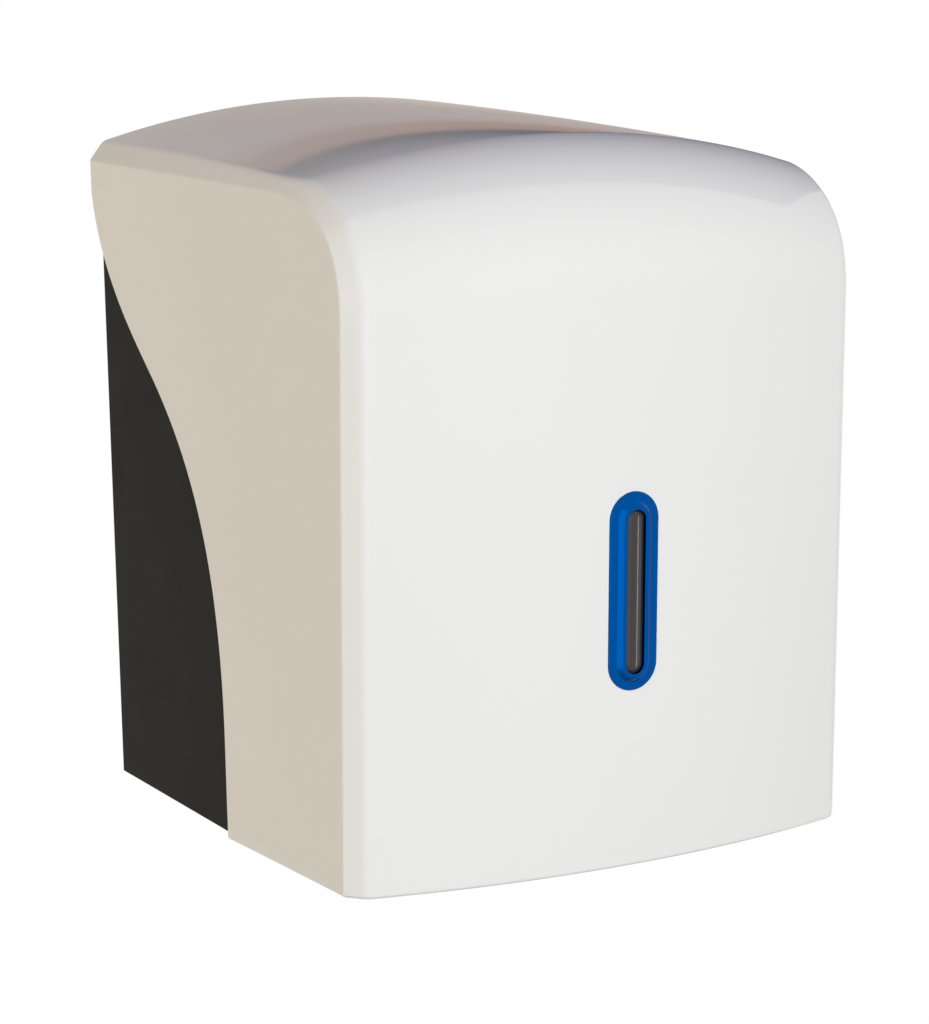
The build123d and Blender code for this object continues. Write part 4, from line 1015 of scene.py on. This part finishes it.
def cross_outline(arm, half):
    """Outline of a cross whose arms reach `arm` and are twice `half` wide."""
    quarter = [(arm, half), (half, half), (half, arm)]
    left = [(-x, y) for x, y in quarter[::-1]]
    return quarter + left + [(-x, -y) for x, y in quarter] + [(-x, -y) for x, y in left]


def pan_screw(name, head, head_height, shank, length):
    """A screw with its head above z = 0. Its finer sizes are shares of head, shank or pitch."""
    bend = np.linspace(0, pi / 2, 7)
    dome = [
        (head * sin(a), head_height * (HEAD_EDGE + (1 - HEAD_EDGE) * cos(a))) for a in bend]
    pitch, root = shank * PITCH, shank * ROOT
    thread = []
    for k in range(int((length - 2 * pitch) / pitch)):
        z = -pitch * (k + THREAD_START)
        thread += [(root, z), (shank, z - pitch * CREST), (shank, z - pitch * CREST_END),
                   (root, z - pitch * THREAD_END)]
    tip = [(root, -length + shank * TIP_LENGTH), (shank * TIP_RADIUS, -length), (0, -length)]
    screw = turned(name, dome + [(head, 0), (root, 0)] + thread + tip)
    recess = cross_outline(head * CROSS_ARM, head * CROSS_HALF)
    floor = head_height * RECESS_FLOOR
    combine(screw, "DIFFERENCE", [(recess, floor, head_height + 1, in_place)])
    return screw


# %% Set the screws
FLOOR_Z, THROAT_Z = BASE + 40.0, BASE + 24.0
RING_FACE_Z = THROAT_Z - 5.6
MOUTH_Z = RING_FACE_Z - 31.0
SEAT_Z, RETAINER_Z = FLOOR_Z + 2.5, -6.7
ROLL_OUT, TRAY_SCREW_RADIUS, RING_SCREW_RADIUS = 112.0, 80.0, 40.4

roll_place = frame_matrix((0, -ROLL_OUT, 0), (1, 0, 0), (0, 0, 1))
print("tray floor, throat, ring face, mouth:", FLOOR_Z, THROAT_Z, RING_FACE_Z, MOUTH_Z)


def set_screws(piece, place, body, node):
    settle(piece, place, zinc)
    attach(piece, body)
    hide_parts(node)


tray_fixings = pan_screw("tray_fixings", 3.1, 1.9, 1.6, 9.5)
grow(tray_fixings, round_tree,
     Count=4, Radius=TRAY_SCREW_RADIUS, First_Angle=pi / 4, Finish=zinc)
on_tray = roll_place @ Matrix.Translation((0, 0, SEAT_Z))
set_screws(tray_fixings, on_tray, "casing", "tray_screws")

ring_fixings = pan_screw("ring_fixings", 2.2, 1.5, 1.1, 8.6)
grow(ring_fixings, round_tree, Count=3, Radius=RING_SCREW_RADIUS, First_Angle=0.0, Finish=zinc)
upside_down = Matrix.Translation((0, 0, RING_FACE_Z)) @ Matrix.Rotation(pi, 4, "X")
set_screws(ring_fixings, roll_place @ upside_down, "casing", "ring_screws")

retainer_fixings = pan_screw("retainer_fixings", 2.0, 1.4, 0.9, 5.2)
grow(retainer_fixings, line_tree, Count=2, Start=(0.0, -POST_OFFSET, 0.0),
     Step=(0.0, 2 * POST_OFFSET, 0.0), Finish=zinc)
facing_in = Matrix.Translation((0, 0, RETAINER_Z)) @ Matrix.Rotation(pi, 4, "Y")
set_screws(retainer_fixings, window_place @ facing_in, "cover", "retainer_screws")

# %% [markdown]
# ## The tear ring
# A stamped steel ring round the outlet tears the paper. It is one tooth and its piece of
# band, repeated sixteen times and merged. Each tooth thins towards its tip.

# %% Teeth
TEETH, BAND_IN, BAND_OUT, BAND_TOP = 16, 14.02, 14.92, 4.0
TOOTH_DEPTH, TIP_THINNING, TOOTH_STEPS = 3.2, 0.3, 8


def tooth_segment(name):
    """One tooth: its two flanks run down from the band, and thin towards the tip."""
    bm = bmesh.new()
    runs = {}
    for k in range(TOOTH_STEPS + 1):
        share = 1 - abs(2 * k / TOOTH_STEPS - 1)
        a = 2 * pi / TEETH * k / TOOTH_STEPS
        for corner, radius, z in (
            (("in", "low"), BAND_IN, -TOOTH_DEPTH * share),
            (("in", "high"), BAND_IN, BAND_TOP),
            (("out", "low"), BAND_OUT - TIP_THINNING * share, -TOOTH_DEPTH * share),
            (("out", "high"), BAND_OUT, BAND_TOP),
        ):
            vert = bm.verts.new((radius * cos(a), radius * sin(a), z))
            runs.setdefault(corner, []).append(vert)
    order = [("in", "low"), ("out", "low"), ("out", "high"), ("in", "high")]
    for first, second in zip(order, order[1:] + order[:1]):
        for k in range(TOOTH_STEPS):
            a, b = runs[first], runs[second]
            bm.faces.new((a[k], a[k + 1], b[k + 1], b[k]))
    return piece_from(name, bm)


teeth = tooth_segment("teeth")
grow(teeth, round_tree, Count=TEETH, Radius=0.0, First_Angle=0.0, Finish=stainless)
settle(teeth, roll_place @ Matrix.Translation((0, 0, MOUTH_Z)), stainless)
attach(teeth, "nozzle")
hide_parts("tear_ring")

# %% [markdown]
# ## Pieces that keep their CAD shape
# The casing, the tray, the nozzle, the lock, the hinge pins and the small steel parts have
# the right shape already, and only need their finish.

# %% Finishes on the CAD pieces
kept = {
    charcoal_grain: ("rear_casing",),
    grey_satin: ("roll_tray", "nozzle_ring", "lens_retainer"),
    nozzle_satin: ("outlet_nozzle",),
    zinc: ("hinge_pin_left", "hinge_pin_right", "lock_nut", "lock_cam", "cam_screw",
           "catch_plate", "catch_screws"),
    chrome: ("lock_housing", "lock_barrel"),
    soft_rubber: ("cover_buffers",),
}
for material, names in kept.items():
    for name in names:
        dress(nodes[name], material)
print("CAD pieces dressed:", sum(len(names) for names in kept.values()))

# %% [markdown]
# ## The floor
# The dispenser hangs on a wall, so the floor is a plain pale sheet far below it that catches
# its shadow. Where the camera looks at it straight, more than half of it is white, so that it
# is no dull square from above, and the shadow still shows.

# %% Floor
FLOOR_HALF, FLOOR_DOWN, SEEN_WHITE = 0.8, -0.9, 0.6

corners = [(x * FLOOR_HALF, y * FLOOR_HALF, FLOOR_DOWN)
           for x, y in ((-1, -1), (1, -1), (1, 1), (-1, 1))]
floor = new_piece("studio_floor", corners, [(0, 1, 2, 3)])
pale = bpy.data.materials.new("pale_floor")
pale.use_nodes = True
add = adder(pale.node_tree)
matte = pale.node_tree.nodes["Principled BSDF"]
feed((0.82, 0.82, 0.82, 1), matte.inputs["Base Color"])
feed(0.7, matte.inputs["Roughness"])
share = maths(add, "MULTIPLY", add("ShaderNodeLightPath")["Is Camera Ray"], SEEN_WHITE)
white = add("ShaderNodeEmission")
blend = add("ShaderNodeMixShader", None, share, matte.outputs[0], white[0])
feed(blend[0], pale.node_tree.nodes["Material Output"].inputs["Surface"])
floor.data.materials.append(pale)
print("floor at", floor.data.vertices[0].co.z, "m")

# %% [markdown]
# ## The hood of painted reflections
# What a gloss surface looks like depends on what it mirrors. A curved sheet behind and above
# the object glows with painted colours, though it is no lamp, and so paints reflections into
# the gloss: the flat top mirrors its warm grey, then a brown band and a dark line, and the turn
# into the front mirrors its cool grey. The camera can't see the sheet itself. Its colours run
# by height, slanted to one side, as the dark line lies slanted.

# %% Hood
HOOD_PROFILE = [
    (0.58, 0.12), (0.62, 0.30), (0.62, 0.50), (0.55, 0.72),
    (0.40, 0.88), (0.18, 0.98), (-0.10, 1.02), (-0.40, 1.02),
]
HOOD_LEFT, HOOD_RIGHT, SLANT, LOWEST, HIGHEST = -1.3, 1.5, 0.5, 0.30, 0.70
# Painted reflections: the glowing colours by slanted height, black for the dark line on the top.
HOOD_PAINTED_REFLECTIONS = [
    (0.37, (0.58, 0.51, 0.45)), (0.43, (0.51, 0.425, 0.375)), (0.49, (0.49, 0.41, 0.38)),
    (0.505, (0.47, 0.37, 0.33)), (0.52, (0.40, 0.265, 0.19)), (0.549, (0.375, 0.21, 0.15)),
    (0.561, (0.0, 0.0, 0.0)), (0.569, (0.0, 0.0, 0.0)), (0.584, (0.05, 0.06, 0.11)),
    (0.603, (0.15, 0.15, 0.21)), (0.66, (0.20, 0.19, 0.27)),
]

hood_points = [(x, y, z) for x in (HOOD_LEFT, HOOD_RIGHT) for y, z in HOOD_PROFILE]
hood = new_piece("studio_hood", hood_points, grid_faces(2, len(HOOD_PROFILE)))
# The sheet's glow is painted reflection, not a lamp's light.
hood_glow = bpy.data.materials.new("hood_glow")
hood_glow.use_nodes = True
tree = hood_glow.node_tree
tree.nodes.clear()
add = adder(tree)
split = add("ShaderNodeSeparateXYZ", None, add("ShaderNodeTexCoord")["Object"])
slanted = maths(add, "MULTIPLY_ADD", split["X"], SLANT, split["Z"])
ramp = tree.nodes.new("ShaderNodeValToRGB")
feed(map_range(add, slanted, 0.0, 1.0, LOWEST, HIGHEST), ramp.inputs["Fac"])
stops = ramp.color_ramp.elements
stops.remove(stops[1])
for number, (level, colour) in enumerate(HOOD_PAINTED_REFLECTIONS):
    place = (level - LOWEST) / (HIGHEST - LOWEST)
    stop = stops[0] if number == 0 else stops.new(place)
    stop.position, stop.color = place, (*colour, 1)
glow = add("ShaderNodeEmission", Color=ramp.outputs["Color"])
add("ShaderNodeOutputMaterial", Surface=glow[0])
hood.data.materials.append(hood_glow)
hood.visible_camera = False
print("hood strips:", len(hood.data.polygons))
